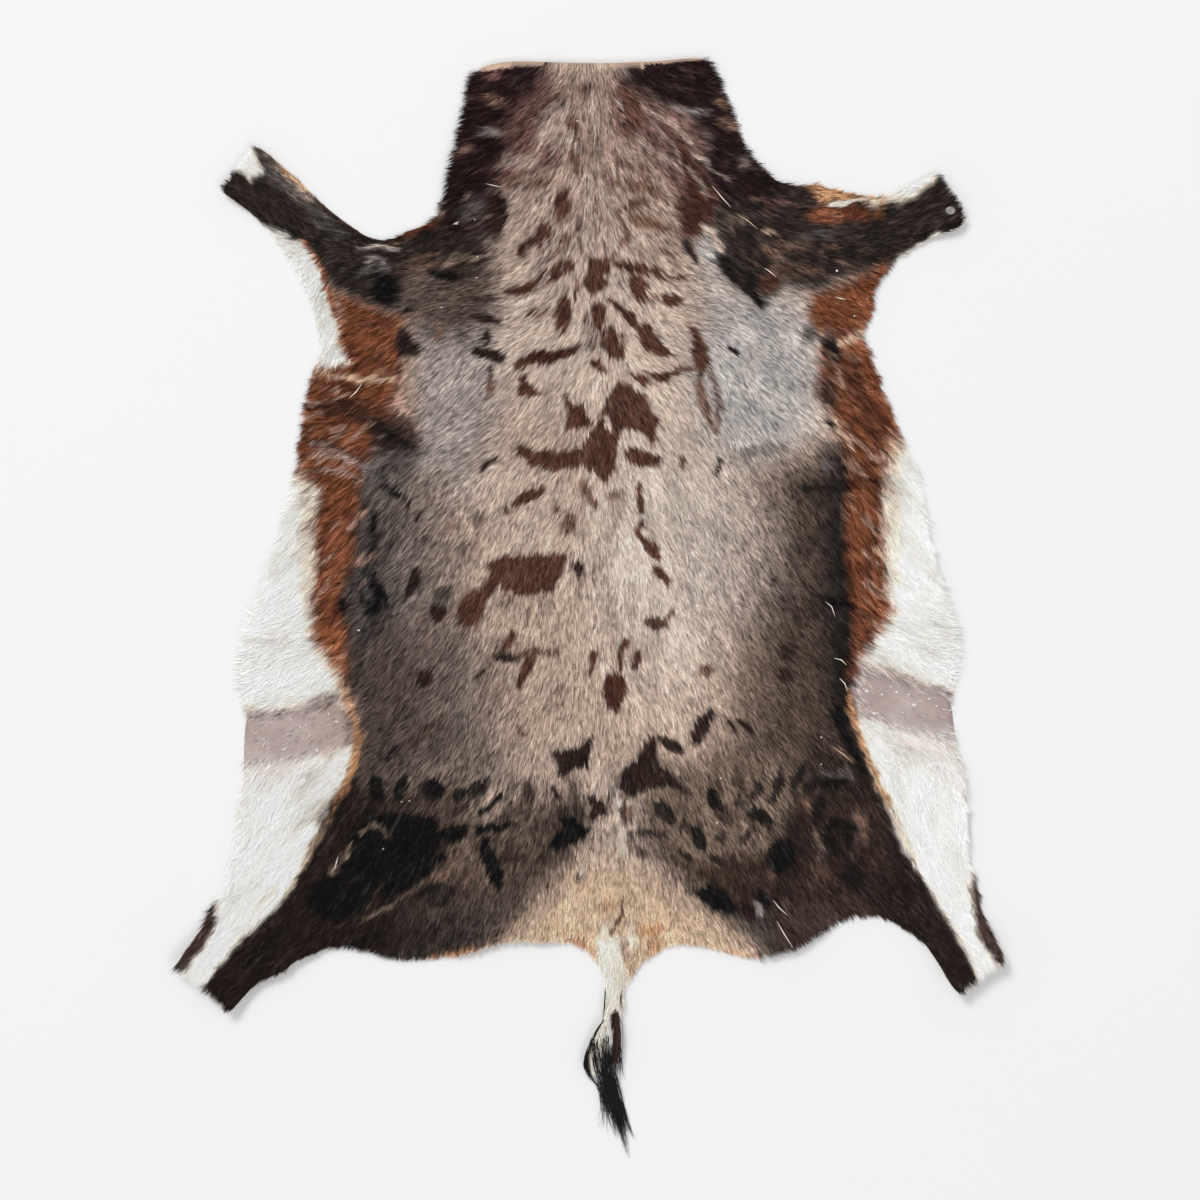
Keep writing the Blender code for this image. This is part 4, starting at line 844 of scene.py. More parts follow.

# How far the tufts of an area differ from each other in tone: painted light and shade on the clumped tufts,
# over small differences of their own tone
Tuft = namedtuple("Tuft", "swing edge points")
TUFTING = (
    Tuft(0.26, 30, [(-350, 290), (-215, 340), (-215, 150), (-268, -150), (-320, -60), (-350, 150)]),
    Tuft(0.26, 30, [(262, 330), (350, 330), (360, 150), (345, -40), (300, -90), (290, 150)]),
    Tuft(0.30, 40, [(-190, 650), (-60, 650), (-110, 440), (-110, 380), (-330, 390), (-330, 460),
        (-190, 460)]),
    Tuft(0.30, 40, [(50, 650), (160, 650), (250, 500), (400, 520), (420, 420), (300, 370), (140, 400),
        (120, 480)]),
    Tuft(0.14, 50, [(-75, 620), (75, 620), (125, 330), (-105, 330)]),
    Tuft(0.13, 50, [(-300, -190), (310, -180), (440, -440), (200, -400), (60, -300), (-60, -300),
        (-200, -400), (-440, -440)]),
    Tuft(0.10, 40, [(-450, 150), (-320, 150), (-320, -100), (-450, -110)]),
    Tuft(0.10, 40, [(450, 170), (350, 150), (340, -60), (450, -100)]),
)

# Dry flakes: x, y and size in millimetres, and what their shapes are drawn from
FLAKES = (
    (-334, -136, 3), (-327, -134, 3), (-292, -130, 4), (-282, -135, 3), (-375, -150, 3), (-314, -163, 4),
    (-345, -128, 2), (-301, -121, 3), (-352, -162, 3), (-366, -131, 2), (-388, -141, 2), (-320, -149, 2),
    (345, -90, 3), (352, -96, 4), (366, -99, 3), (377, -96, 3), (389, -104, 4), (372, -111, 5),
    (326, -121, 3), (335, -99, 3), (359, -120, 3), (398, -112, 3), (383, -124, 2), (318, -95, 5),
    (-130, 404, 2), (-131, 380, 2), (-154, 442, 3), (-133, 447, 2), (-171, 346, 2), (-15, 560, 2),
    (20, 494, 2), (283, 388, 3), (303, 336, 2), (318, 355, 2), (265, -148, 2), (265, -179, 2),
    (150, -195, 2), (146, -246, 2), (-24, -378, 3), (-217, -222, 2), (-208, -221, 2), (-238, -276, 2),
    (-266, -25, 3), (282, 215, 3),
)
FLAKE_LENGTHS = (0.8, 1.3)
FLAKE_WIDTHS = (0.6, 1.0)
FLAKE_HEIGHT = 0.35
FLAKE_WAVES = (9, 7)
FLAKE_PUSH = 0.22
FLAKE_RISE = 0.0004

# Single bright hairs: tone and places in millimetres, with the same widths for all
BRIGHT_WIDTHS = (0.3, 1.1, 0.3)
BRIGHT_STOPS = 9
BRIGHT_LIFT = 1.6
BRIGHT_HAIRS = (
    ("cream", [(140, 485), (151, 472), (161, 461)]),
    ("cream", [(270, 8), (277, 2), (281, -9)]),
    ("cream", [(280, -57), (288, -59), (294, -65)]),
    ("cream", [(286, -80), (292, -86), (295, -95)]),
    ("cream", [(210, -335), (216, -343), (226, -352)]),
    ("cream", [(214, -359), (222, -373), (232, -389)]),
    ("cream", [(-277, 242), (-270, 248), (-262, 259)]),
    ("cream", [(281, 358), (287, 356), (293, 355)]),
    ("cream", [(200, 391), (206, 387), (213, 381)]),
    ("cream", [(-158, 441), (-154, 443), (-151, 444)]),
    ("cream", [(-290, -285), (-292, -292), (-294, -300)]),
    ("tan", [(-262, 414), (-240, 417), (-222, 414)]),
    ("tan", [(280, -160), (290, -167), (301, -177)]),
    ("tan", [(170, 452), (180, 446), (192, 436)]),
    ("pale taupe", [(-120, 488), (-112, 486), (-102, 484)]),
)

# Locks of the tail: how many hairs, their tone, and root, middle and tip with the half width there
Lock = namedtuple("Lock", "hairs tone root middle tip")
LOCKS = (
    Lock(110, "tuft black", (15, -532, 7), (29, -570, 6), (42, -626, 2)),
    Lock(80, "tuft black", (19, -522, 6), (27, -560, 7), (40, -606, 6)),
    Lock(60, "tuft black", (12, -538, 6), (24, -568, 7), (36, -600, 7)),
    Lock(34, "tuft black", (9, -545, 5), (15, -566, 6), (17, -596, 10)),
    Lock(36, "tuft black", (20, -552, 6), (26, -580, 8), (29, -610, 9)),
    Lock(26, "tuft black", (28, -552, 3), (39, -582, 6), (50, -610, 6)),
    Lock(44, "tuft black", (7, -494, 5), (10, -522, 6), (18, -558, 5)),
    Lock(44, "tuft black", (18, -490, 4), (18, -520, 4), (24, -560, 4)),
    Lock(90, "spot dark", (29, -464, 2.5), (30.5, -498, 3.5), (26, -542, 3)),
    Lock(16, "tuft black", (33, -500, 1.5), (34, -520, 2), (36, -544, 3)),
    Lock(10, "black", (17, -436, 0.5), (16, -458, 0.5), (13, -482, 0.8)),
    Lock(44, "black", (14, -474, 0.8), (1, -498, 1.4), (-4, -522, 1.8)),
    Lock(60, "black", (-2, -504, 1.4), (-4, -528, 2.3), (10, -550, 2.0)),
    Lock(8, "black", (37, -437, 0.5), (35, -450, 0.7), (37, -462, 0.7)),
    Lock(50, "cream", (14, -478, 5), (10, -500, 6), (10, -522, 5)),
)


def soft_step(value):
    value = np.clip(value, 0.0, 1.0)
    return value * value * (3.0 - 2.0 * value)


def linear_colour(colour):
    colour = np.asarray(colour, dtype=float) / 255.0
    return np.where(colour <= 0.04045, colour / 12.92, ((colour + 0.055) / 1.055) ** 2.4)


def distance_to_run(x, y, points, widths):
    """Distance past the rim of a run of lines whose width changes from point to point."""
    nearest = np.full(len(x), np.inf)
    for (ax, ay), (bx, by), first, second in zip(points, points[1:], widths, widths[1:]):
        run = max((bx - ax) ** 2 + (by - ay) ** 2, 1e-6)
        along = np.clip(((x - ax) * (bx - ax) + (y - ay) * (by - ay)) / run, 0.0, 1.0)
        away = np.hypot(x - ax - along * (bx - ax), y - ay - along * (by - ay))
        nearest = np.minimum(nearest, away - 0.5 * (first + along * (second - first)))
    return nearest


def inside_ring(x, y, ring):
    within = np.zeros(len(x), dtype=bool)
    for (ax, ay), (bx, by) in zip(ring, np.roll(ring, -1, axis=0)):
        if ay == by:
            continue
        crosses = (ay > y) != (by > y)
        within ^= crosses & (x < ax + (y - ay) * (bx - ax) / (by - ay))
    return within


def distance_to_area(x, y, points):
    """Distance to a closed outline, less than nothing inside it."""
    closed = points + points[:1]
    away = distance_to_run(x, y, closed, [0.0] * len(closed))
    return np.where(inside_ring(x, y, np.array(points, dtype=float)), -away, away)


def distance_to_oval(x, y, mark):
    turn = math.radians(mark.turn)
    along = (x - mark.x) * math.cos(turn) + (y - mark.y) * math.sin(turn)
    across = (y - mark.y) * math.cos(turn) - (x - mark.x) * math.sin(turn)
    reach = np.hypot(along / (mark.wide / 2), across / (mark.high / 2))
    return (reach - 1.0) * min(mark.wide, mark.high) / 2


def distance_to_mark(x, y, mark):
    if isinstance(mark, Oval):
        return distance_to_oval(x, y, mark)
    if isinstance(mark, Stroke):
        return distance_to_run(x, y, mark.points, mark.widths)
    return distance_to_area(x, y, mark.points)


def mark_box(mark):
    """Left, low, right and high of all that a mark can reach."""
    spare = mark.edge / 2 + SPREAD
    if isinstance(mark, Oval):
        longest = max(mark.wide, mark.high)
        half = longest / 2 + spare * longest / min(mark.wide, mark.high)
        return mark.x - half, mark.y - half, mark.x + half, mark.y + half
    if isinstance(mark, Stroke):
        spare += max(mark.widths) / 2
    xs = [x for x, y in mark.points]
    ys = [y for x, y in mark.points]
    return min(xs) - spare, min(ys) - spare, max(xs) + spare, max(ys) + spare


def coat_colour(x, y):
    """Linear colour of the coat at places in millimetres, painted mark over mark."""
    colour = np.tile(linear_colour(TONES["taupe"]), (len(x), 1))
    for mark in COAT:
        left, low, right, high = mark_box(mark)
        near = np.nonzero((x > left) & (x < right) & (y > low) & (y < high))[0]
        if len(near):
            away = distance_to_mark(x[near], y[near], mark) - SPREAD
            cover = mark.part * soft_step(0.5 - away / mark.edge)
            colour[near] += cover[:, None] * (linear_colour(TONES[mark.tone]) - colour[near])
    return colour


def cover_of(rows, x, y, plain, value):
    """A number over the chart that each row's area moves toward its own."""
    result = np.full(len(x), float(plain))
    for row in rows:
        cover = soft_step(0.5 - distance_to_area(x, y, row.points) / row.edge)
        result += cover * (value(row) - result)
    return result


def hair_length(x, y):
    return cover_of(LENGTHS, x, y, BODY_LENGTH, lambda row: row.length)


def bareness(x, y):
    bare = np.zeros(len(x))
    for row in BARE:
        cover = row.part * soft_step(0.5 - distance_to_area(x, y, row.points) / row.edge)
        bare = np.maximum(bare, cover)
    return bare


def chart(points):
    """Places of the chart, in millimetres, for places of the frame, in metres."""
    return (points[:, 0] - CHART_SHIFT[0]) / MM, (points[:, 1] - CHART_SHIFT[1]) / MM


def to_frame(x, y):
    """Places of the frame, in metres, for places of the chart, in millimetres."""
    return np.stack([x * MM + CHART_SHIFT[0], y * MM + CHART_SHIFT[1]], axis=-1)


class Grid:
    """Values on a square grid over the hide, read between its points."""

    def __init__(self, low, cell, values):
        self.low = np.asarray(low, dtype=float)
        self.cell = cell
        self.values = values

    def read(self, points):
        rows, columns = self.values.shape[:2]
        place = (points - self.low) / self.cell
        place = np.clip(place, 0.0, np.array([columns, rows]) - 1.001)
        corner = place.astype(int)
        part = place - corner
        i, j = corner[:, 0], corner[:, 1]
        u, v = part[:, 0], part[:, 1]
        if self.values.ndim == 3:
            u, v = u[:, None], v[:, None]
        near = self.values[j, i] * (1 - u) + self.values[j, i + 1] * u
        far = self.values[j + 1, i] * (1 - u) + self.values[j + 1, i + 1] * u
        return near * (1 - v) + far * v


class Grain:
    """Even random grain, read along the lie so that it draws out into streaks."""

    def __init__(self, seed, cell, length):
        size = int(GRAIN_SPAN / cell)
        values = np.random.default_rng(seed).standard_normal((size, size))
        self.grid = Grid((-GRAIN_SPAN / 2, -GRAIN_SPAN / 2), cell, values)
        self.steps = np.linspace(-0.5, 0.5, STREAK_STEPS) * length

    def streaks(self, x, y, lie):
        total = np.zeros(len(x))
        for step in self.steps:
            total += self.grid.read(np.stack([x + lie[:, 0] * step, y + lie[:, 1] * step], axis=1))
        return total / max(total.std(), 1e-9)


def lie_grid():
    """The lie of the hair over the chart, smoothed between the places where it is given."""
    table = np.array(LIE, dtype=float)
    table[:, 2:] /= np.linalg.norm(table[:, 2:], axis=1)[:, None]
    across, along = [np.arange(-half, half + 1.0, LIE_CELL) for half in CHART_HALF]
    x, y = np.meshgrid(across, along)
    away = (x[..., None] - table[:, 0]) ** 2 + (y[..., None] - table[:, 1]) ** 2
    weight = 1.0 / (away + LIE_REACH ** 2) ** 2
    lie = np.stack([(weight * table[:, 2]).sum(-1), (weight * table[:, 3]).sum(-1)], axis=-1)
    lie /= np.linalg.norm(lie, axis=-1)[..., None]
    return Grid((-CHART_HALF[0], -CHART_HALF[1]), LIE_CELL, lie)


def turned(lie, bend):
    """The lie, turned at each place by a bend in radians."""
    cosine, sine = np.cos(bend), np.sin(bend)
    return np.stack([lie[:, 0] * cosine - lie[:, 1] * sine, lie[:, 0] * sine + lie[:, 1] * cosine], axis=1)


def solid_mesh(name):
    """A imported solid's places and triangles, with its split points joined again."""
    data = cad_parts[name].data
    data.calc_loop_triangles()
    places = np.zeros(len(data.vertices) * 3)
    data.vertices.foreach_get("co", places)
    faces = np.zeros(len(data.loop_triangles) * 3, dtype=int)
    data.loop_triangles.foreach_get("vertices", faces)
    places = places.reshape(-1, 3)
    joined, which = np.unique(np.round(places / 1e-6).astype(np.int64), axis=0, return_inverse=True)
    return joined * 1e-6, which.reshape(-1)[faces].reshape(-1, 3)


def face_normals(places, faces):
    corners = places[faces]
    normals = np.cross(corners[:, 1] - corners[:, 0], corners[:, 2] - corners[:, 0])
    return normals / np.maximum(np.linalg.norm(normals, axis=1), 1e-15)[:, None]


def rim_loops(faces):
    """Closed loops along the edges that only one of these faces has, the longest first."""
    runs = np.concatenate([faces[:, [0, 1]], faces[:, [1, 2]], faces[:, [2, 0]]])
    known = set(map(tuple, runs.tolist()))
    following = {}
    for a, b in sorted(known):
        if (b, a) not in known:
            following.setdefault(a, []).append(b)
    loops = []
    for start in sorted(following):
        while following[start]:
            loop = [start]
            step = following[start].pop()
            while step != start:
                loop.append(step)
                step = following[step].pop()
            loops.append(loop)
    return sorted(loops, key=len, reverse=True)


def grid_over(points, margin, cell):
    """Low corner, columns and rows of a grid that reaches past these places by a margin."""
    low = points.min(axis=0) - margin
    size = points.max(axis=0) + margin - low
    columns, rows = (np.ceil(size / cell).astype(int) + 1).tolist()
    return low, columns, rows


def grid_places(low, columns, rows, cell):
    x, y = np.meshgrid(low[0] + cell * np.arange(columns), low[1] + cell * np.arange(rows))
    return np.stack([x.ravel(), y.ravel()], axis=1)


def height_grid(places, faces):
    """The height of a surface over a grid, carried on outwards past its rim."""
    low, columns, rows = grid_over(places[:, :2], HEIGHT_MARGIN, HEIGHT_CELL)
    heights = np.full((rows, columns), np.nan)
    for corners in places[faces]:
        flat = (corners[:, :2] - low) / HEIGHT_CELL
        first = np.floor(flat.min(axis=0)).astype(int)
        last = np.ceil(flat.max(axis=0)).astype(int)
        i, j = np.meshgrid(np.arange(first[0], last[0] + 1), np.arange(first[1], last[1] + 1))
        (ax, ay), (bx, by), (cx, cy) = flat
        double = (bx - ax) * (cy - ay) - (cx - ax) * (by - ay)
        if abs(double) < 1e-9:
            continue
        v = ((i - ax) * (cy - ay) - (cx - ax) * (j - ay)) / double
        w = ((bx - ax) * (j - ay) - (i - ax) * (by - ay)) / double
        covered = (v >= -1e-6) & (w >= -1e-6) & (v + w <= 1 + 1e-6)
        z = corners[0, 2] * (1 - v - w) + corners[1, 2] * v + corners[2, 2] * w
        heights[j[covered], i[covered]] = z[covered]
    for _ in range(int(HEIGHT_MARGIN / HEIGHT_CELL)):
        spread_out(heights)
    return Grid(low, HEIGHT_CELL, np.nan_to_num(heights))


def spread_out(values):
    """Fills each empty cell that touches a filled one with the mean of those that it touches."""
    padded = np.pad(values, 1, constant_values=np.nan)
    shifts = [padded[1 + dj:padded.shape[0] - 1 + dj, 1 + di:padded.shape[1] - 1 + di]
              for dj in (-1, 0, 1) for di in (-1, 0, 1) if di or dj]
    stack = np.stack(shifts)
    known = ~np.isnan(stack)
    count = known.sum(axis=0)
    mean = np.where(known, stack, 0.0).sum(axis=0) / np.maximum(count, 1)
    empty = np.isnan(values) & (count > 0)
    values[empty] = mean[empty]


def even_ring(points, step):
    """A closed ring's places, spaced evenly."""
    ring = np.vstack([points, points[:1]])
    lengths = np.linalg.norm(np.diff(ring, axis=0), axis=1)
    travelled = np.concatenate([[0.0], np.cumsum(lengths)])
    count = max(int(round(travelled[-1] / step)), 12)
    stops = np.linspace(0.0, travelled[-1], count, endpoint=False)
    return np.stack([np.interp(stops, travelled, ring[:, axis]) for axis in (0, 1)], axis=1)


def smoothed(values, times):
    for _ in range(times):
        values = 0.25 * np.roll(values, 1, axis=0) + 0.5 * values + 0.25 * np.roll(values, -1, axis=0)
    return values


def outward(ring):
    """Unit normals out of a ring that runs with the hide on its left."""
    along = np.roll(ring, -1, axis=0) - np.roll(ring, 1, axis=0)
    across = np.stack([along[:, 1], -along[:, 0]], axis=1)
    return across / np.maximum(np.linalg.norm(across, axis=1), 1e-12)[:, None]


def ring_distance(ring):
    """Distance to a ring on a grid, more than nothing inside it."""
    low, columns, rows = grid_over(ring, RIM_GRID_MARGIN, RIM_CELL)
    flat = grid_places(low, columns, rows, RIM_CELL)
    nearest = []
    for start in range(0, len(flat), RIM_CHUNK):
        part = flat[start:start + RIM_CHUNK]
        away = (part[:, None, 0] - ring[None, :, 0]) ** 2 + (part[:, None, 1] - ring[None, :, 1]) ** 2
        nearest.append(np.sqrt(away.min(axis=1)))
    nearest = np.concatenate(nearest)
    values = np.where(inside_ring(flat[:, 0], flat[:, 1], ring), nearest, -nearest)
    return Grid(low, RIM_CELL, values.reshape(rows, columns))


class Hide:
    """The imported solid's underside, its rim, the skin's own smaller rim and the lie of its hair."""

    def __init__(self):
        places, faces = solid_mesh("hide")
        under = faces[face_normals(places, faces)[:, 2] < UNDERSIDE]
        self.under = height_grid(places, under)
        rim, hole = [places[loop][:, :2] for loop in rim_loops(under[:, ::-1])[:2]]
        self.hole = hole
        self.lie = lie_grid()
        self.skin_rim = self.inset_rim(even_ring(rim, RIM_CELL))
        self.depth = ring_distance(self.skin_rim)

    def lie_at(self, x, y):
        lie = self.lie.read(np.stack([x, y], axis=1))
        return lie / np.maximum(np.linalg.norm(lie, axis=1), 1e-9)[:, None]

    def from_hole(self, places):
        """Distance from the middle of the peg hole."""
        return np.linalg.norm(places - self.hole.mean(axis=0), axis=1)

    def past_rim(self, places):
        """How far places are past the skin's rim, from nothing to one."""
        return np.clip(-self.depth.read(places) / PAST_RIM, 0.0, 1.0)

    def top(self, places):
        """Height of the skin's hair side."""
        return self.under.read(places) + SKIN_THICKNESS

    def inset_rim(self, rim):
        """The skin ends short of the rim by what its hair reaches past it."""
        ring = smoothed(rim, RIM_SMOOTHING)
        normals = smoothed(outward(ring), NORMAL_SMOOTHING)
        normals /= np.linalg.norm(normals, axis=1)[:, None]
        x, y = chart(ring)
        along = np.clip((self.lie_at(x, y) * normals).sum(axis=1), 0.0, 1.0)
        reach = RIM_MARGIN + RIM_REACH_SHARE * along * hair_length(x, y) * MM * (1 - bareness(x, y))
        off_hole = soft_step((self.from_hole(ring) - RIM_KEPT_NEAR_HOLE) / RIM_KEPT_FADE)
        reach = smoothed((reach * off_hole)[:, None], REACH_SMOOTHING)
        return even_ring(smoothed(ring - normals * reach, SKIN_SMOOTHING), SKIN_EDGE_STEP)


def linked(name, data):
    """A new object in the scene."""
    made = bpy.data.objects.new(name, data)
    bpy.context.scene.collection.objects.link(made)
    return made


def make_object(name, places, faces, material):
    mesh = bpy.data.meshes.new(name)
    mesh.vertices.add(len(places))
    mesh.vertices.foreach_set("co", np.ascontiguousarray(places, dtype=np.float32).ravel())
    mesh.loops.add(faces.size)
    mesh.loops.foreach_set("vertex_index", np.ascontiguousarray(faces, dtype=np.int32).ravel())
    mesh.polygons.add(len(faces))
    mesh.polygons.foreach_set("loop_start", np.arange(0, faces.size, faces.shape[1], dtype=np.int32))
    mesh.update(calc_edges=True)
    mesh.validate()
    mesh.materials.append(material)
    return linked(name, mesh)


def paint(piece, name, colours):
    """Puts a colour on every corner of every face."""
    layer = piece.data.color_attributes.new(name, "FLOAT_COLOR", "CORNER")
    full = np.ones((len(colours), 4), dtype=np.float32)
    full[:, :3] = np.clip(colours, 0.0, 1.0)
    layer.data.foreach_set("color", full.ravel())


def skin_plan(hide):
    """The skin seen from above: its places, its triangles and its area."""
    ring = hide.skin_rim
    hole = even_ring(hide.hole, HOLE_STEP)
    points = grid_places(*grid_over(ring, 0.0, SKIN_SPACING), SKIN_SPACING)
    shake = np.random.default_rng(SEED).uniform(-SKIN_SHAKE, SKIN_SHAKE, points.shape)
    points = points + shake * SKIN_SPACING
    off_hole = np.linalg.norm(points - hole.mean(axis=0), axis=1) >= 2.0 * HOLE_CLEARANCE
    points = points[(hide.depth.read(points) > SKIN_RIM_GAP * SKIN_SPACING) & off_hole]
    count, hole_count = len(ring), len(hole)
    edges = [(i, (i + 1) % count) for i in range(count)]
    edges += [(count + i, count + (i + 1) % hole_count) for i in range(hole_count)]
    everything = [Vector(place) for place in np.vstack([ring, hole, points]).tolist()]
    found = delaunay_2d_cdt(everything, edges, [], 1, 1e-6, False)
    flat = np.array([tuple(place) for place in found[0]])
    faces = np.array(found[2])
    middle = flat[faces].mean(axis=1)
    outside_hole = ~inside_ring(middle[:, 0], middle[:, 1], hole)
    faces = faces[outside_hole & inside_ring(middle[:, 0], middle[:, 1], ring)]
    spans = flat[faces]
    twice = np.cross(spans[:, 1] - spans[:, 0], spans[:, 2] - spans[:, 0])
    faces, twice = faces[np.abs(twice) > 1e-12], twice[np.abs(twice) > 1e-12]
    faces[twice < 0] = faces[twice < 0][:, ::-1]
    return flat, faces, 0.5 * np.abs(twice).sum()


def skin_sheet(hide, material, flesh):
    """The tanned skin: a thin closed sheet on the solid's underside, with its peg hole."""
    flat, faces, area = skin_plan(hide)
    bottom = hide.under.read(flat)
    total = len(flat)
    places = np.vstack([np.column_stack([flat, bottom + SKIN_THICKNESS]), np.column_stack([flat, bottom])])
    walls = []
    for loop in rim_loops(faces):
        for a, b in zip(loop, loop[1:] + loop[:1]):
            walls += [(b, a, a + total), (b, a + total, b + total)]
    every = np.vstack([faces, faces[:, ::-1] + total, np.array(walls)])
    piece = make_object("skin", places, every, material)
    piece.data.materials.append(flesh)
    kinds = np.zeros(len(every), dtype=np.int32)
    kinds[len(faces):2 * len(faces)] = 1
    piece.data.polygons.foreach_set("material_index", kinds)
    paint_skin(piece, *chart(places))
    piece.data.shade_smooth()
    return piece, area


def paint_skin(piece, x, y):
    """The coat's tone under the hair, with a pale line along the neck's cut."""
    tone = coat_colour(x, y)
    cut = soft_step((y - BARE_CUT_START) / BARE_CUT_FADE) * (bareness(x, y) > 0.5)
    tone += cut[:, None] * (linear_colour(BARE_CUT_TONE) - tone)
    corner = np.zeros(len(piece.data.loops), dtype=int)
    piece.data.loops.foreach_get("vertex_index", corner)
    paint(piece, "tone", tone[corner])


def random_roots(hide, count, rng):
    """Roots spread over the skin, in metres, fewer where it is bare."""
    low = hide.skin_rim.min(axis=0)
    high = hide.skin_rim.max(axis=0)
    kept = []
    needed = count
    while needed > 0:
        points = rng.uniform(low, high, (2 * count, 2))
        points = points[hide.depth.read(points) > ROOT_MARGIN]
        points = points[rng.random(len(points)) > bareness(*chart(points))]
        ways = hide.lie_at(*chart(points)) * BODY_LENGTH * MM
        clear = [hide.from_hole(points + share * ways) > HOLE_CLEARANCE for share in HOLE_SHARES]
        points = points[np.all(clear, axis=0)][:needed]
        kept.append(points)
        needed -= len(points)
    return np.vstack(kept)


def falling(light, start, fall, least, most):
    """A number that falls as the tone gets lighter."""
    return np.clip(start - fall * light, least, most)


def flecked(tone, x, y, fleck, tuft):
    """The tone with its flecks: pale ones only lighten it, all the others only darken it."""
    open_coat = soft_step(0.5 + distance_to_area(x, y, PLAIN_AREA) / PLAIN_EDGE)
    for row in FLECKS:
        zone = open_coat * soft_step(0.5 - distance_to_area(x, y, row.points) / row.edge)
        cover = row.part * zone * soft_step((fleck + FLECK_TUFTS * tuft - row.level) / FLECK_FADE)
        change = linear_colour(TONES[row.tone]) - tone
        limit = np.maximum if row.tone in LIGHT_FLECKS else np.minimum
        tone += cover[:, None] * limit(change, 0.0)
    return tone


def hair_tone(x, y, lie, grains, rng):
    """Each hair's own tone: the chart's, drawn out into streaks, tufts and flecks, with painted highlight on
    the lighter hairs and painted sheen along dark hair.
    """
    names = ("fine", "tuft", "cloud", "fleck", "drift", "ragged")
    fine, tuft, cloud, fleck, drift, ragged = [grains[name].streaks(x, y, lie) for name in names]
    # Thin dark gaps in the streaks: painted shade between the hairs
    fine -= FINE_GAPS * (fine * fine - 1.0)
    drift *= DRIFT
    ragged *= RAGGED
    tone = coat_colour(x - lie[:, 1] * drift + lie[:, 0] * ragged, y + lie[:, 0] * drift + lie[:, 1] * ragged)
    tone = flecked(tone, x, y, fleck, tuft)
    # Gaps between the hairs darken the coat, so middle tones are given lighter hairs
    tone = tone * (1.0 + tone * (1.0 - tone))
    light = tone.mean(axis=1)
    own = rng.standard_normal(len(x))
    # Tuft to tuft the tone swings with painted light and shade on the clumps
    tufting = cover_of(TUFTING, x, y, PLAIN_TUFTING, lambda row: row.swing) * falling(light, *TUFT_SWING)
    swing = falling(light, *HAIR_SWING) * (FINE_SHARE * fine + OWN_SHARE * own)
    factor = np.exp(swing + tufting * tuft + CLOUD_SHARE * cloud)
    # Hairs lifted above their tone take painted highlight, paled toward the sheen's colour
    brighter = np.clip(factor - 1.0, 0.0, MOST_BRIGHTER) * light
    hue = HUE_KEPT * tone / np.maximum(light, 1e-4)[:, None] + (1.0 - HUE_KEPT) * SHEEN_TONE
    tone = tone * np.minimum(factor, 1.0)[:, None] + brighter[:, None] * hue
    # Painted sheen: light caught along dark hair, added to its tone
    raised = sum(share * part for share, part in zip(SHEEN_SHARES, (tuft, fine, own))) - SHEEN_START
    painted_sheen = np.clip(raised, 0.0, SHEEN_MOST) * np.clip(1.0 - light / SHEEN_DARK, 0.0, 1.0)
    return tone + ((SHEEN_PLAIN + SHEEN_TUFTED * tufting) * painted_sheen)[:, None] * SHEEN_TONE


def palette_of(tones):
    """Rounds the tones until they fit a square of cells: each tone's cell, and each cell's tone."""
    seen = np.clip(tones, 0.0, 1.0) ** (1 / SEEN_POWER)
    for levels in PALETTE_STEPS:
        steps = np.round(seen * levels).astype(np.int64)
        code = (steps[:, 0] * PALETTE_CODE + steps[:, 1]) * PALETTE_CODE + steps[:, 2]
        cells, which = np.unique(code, return_inverse=True)
        if len(cells) <= PALETTE_SIDE ** 2:
            break
    parts = [cells // PALETTE_CODE ** 2, cells // PALETTE_CODE % PALETTE_CODE, cells % PALETTE_CODE]
    return which.reshape(-1), (np.stack(parts, axis=1) / levels) ** SEEN_POWER


def hair_mesh(name, material, points, tones, blade):
    """One mesh of triangles for all the hairs of a kind, each hair given by its points.

    Its flat map for the baked coat puts hairs of one tone on one small cell, root below and tip above.
    """
    order = list(blade.order)
    corners = points[:, order].reshape(-1, 3)
    piece = make_object(name, corners, np.arange(len(corners)).reshape(-1, 3), material)
    cell, palette = palette_of(tones)
    # Each corner's tone carries painted shade at the root and painted light at the tip
    colours = palette[cell][:, None, :] * np.array(blade.shades)[order][None, :, None]
    paint(piece, "tone", colours.reshape(-1, 3))
    corner = np.stack([cell % PALETTE_SIDE, cell // PALETTE_SIDE], axis=1)
    flat = (corner[:, None, :] + np.array(blade.layout)[order]) / PALETTE_SIDE
    layer = piece.data.uv_layers.new(name="OFBake")
    layer.data.foreach_set("uv", flat.astype(np.float32).ravel())
    return piece


def short_hairs(hide, material, grains):
    """The lying coat: single tapering blades, split into pieces from the neck down."""
    rng = np.random.default_rng(SEED + 1)
    roots = random_roots(hide, HAIRS_IN_ALL, rng)
    roots = roots[np.argsort(-roots[:, 1], kind="stable")]
    parts = np.array_split(roots, len(COAT_PIECES))
    return [coat_piece(name, hide, material, grains, part, rng) for name, part in zip(COAT_PIECES, parts)]


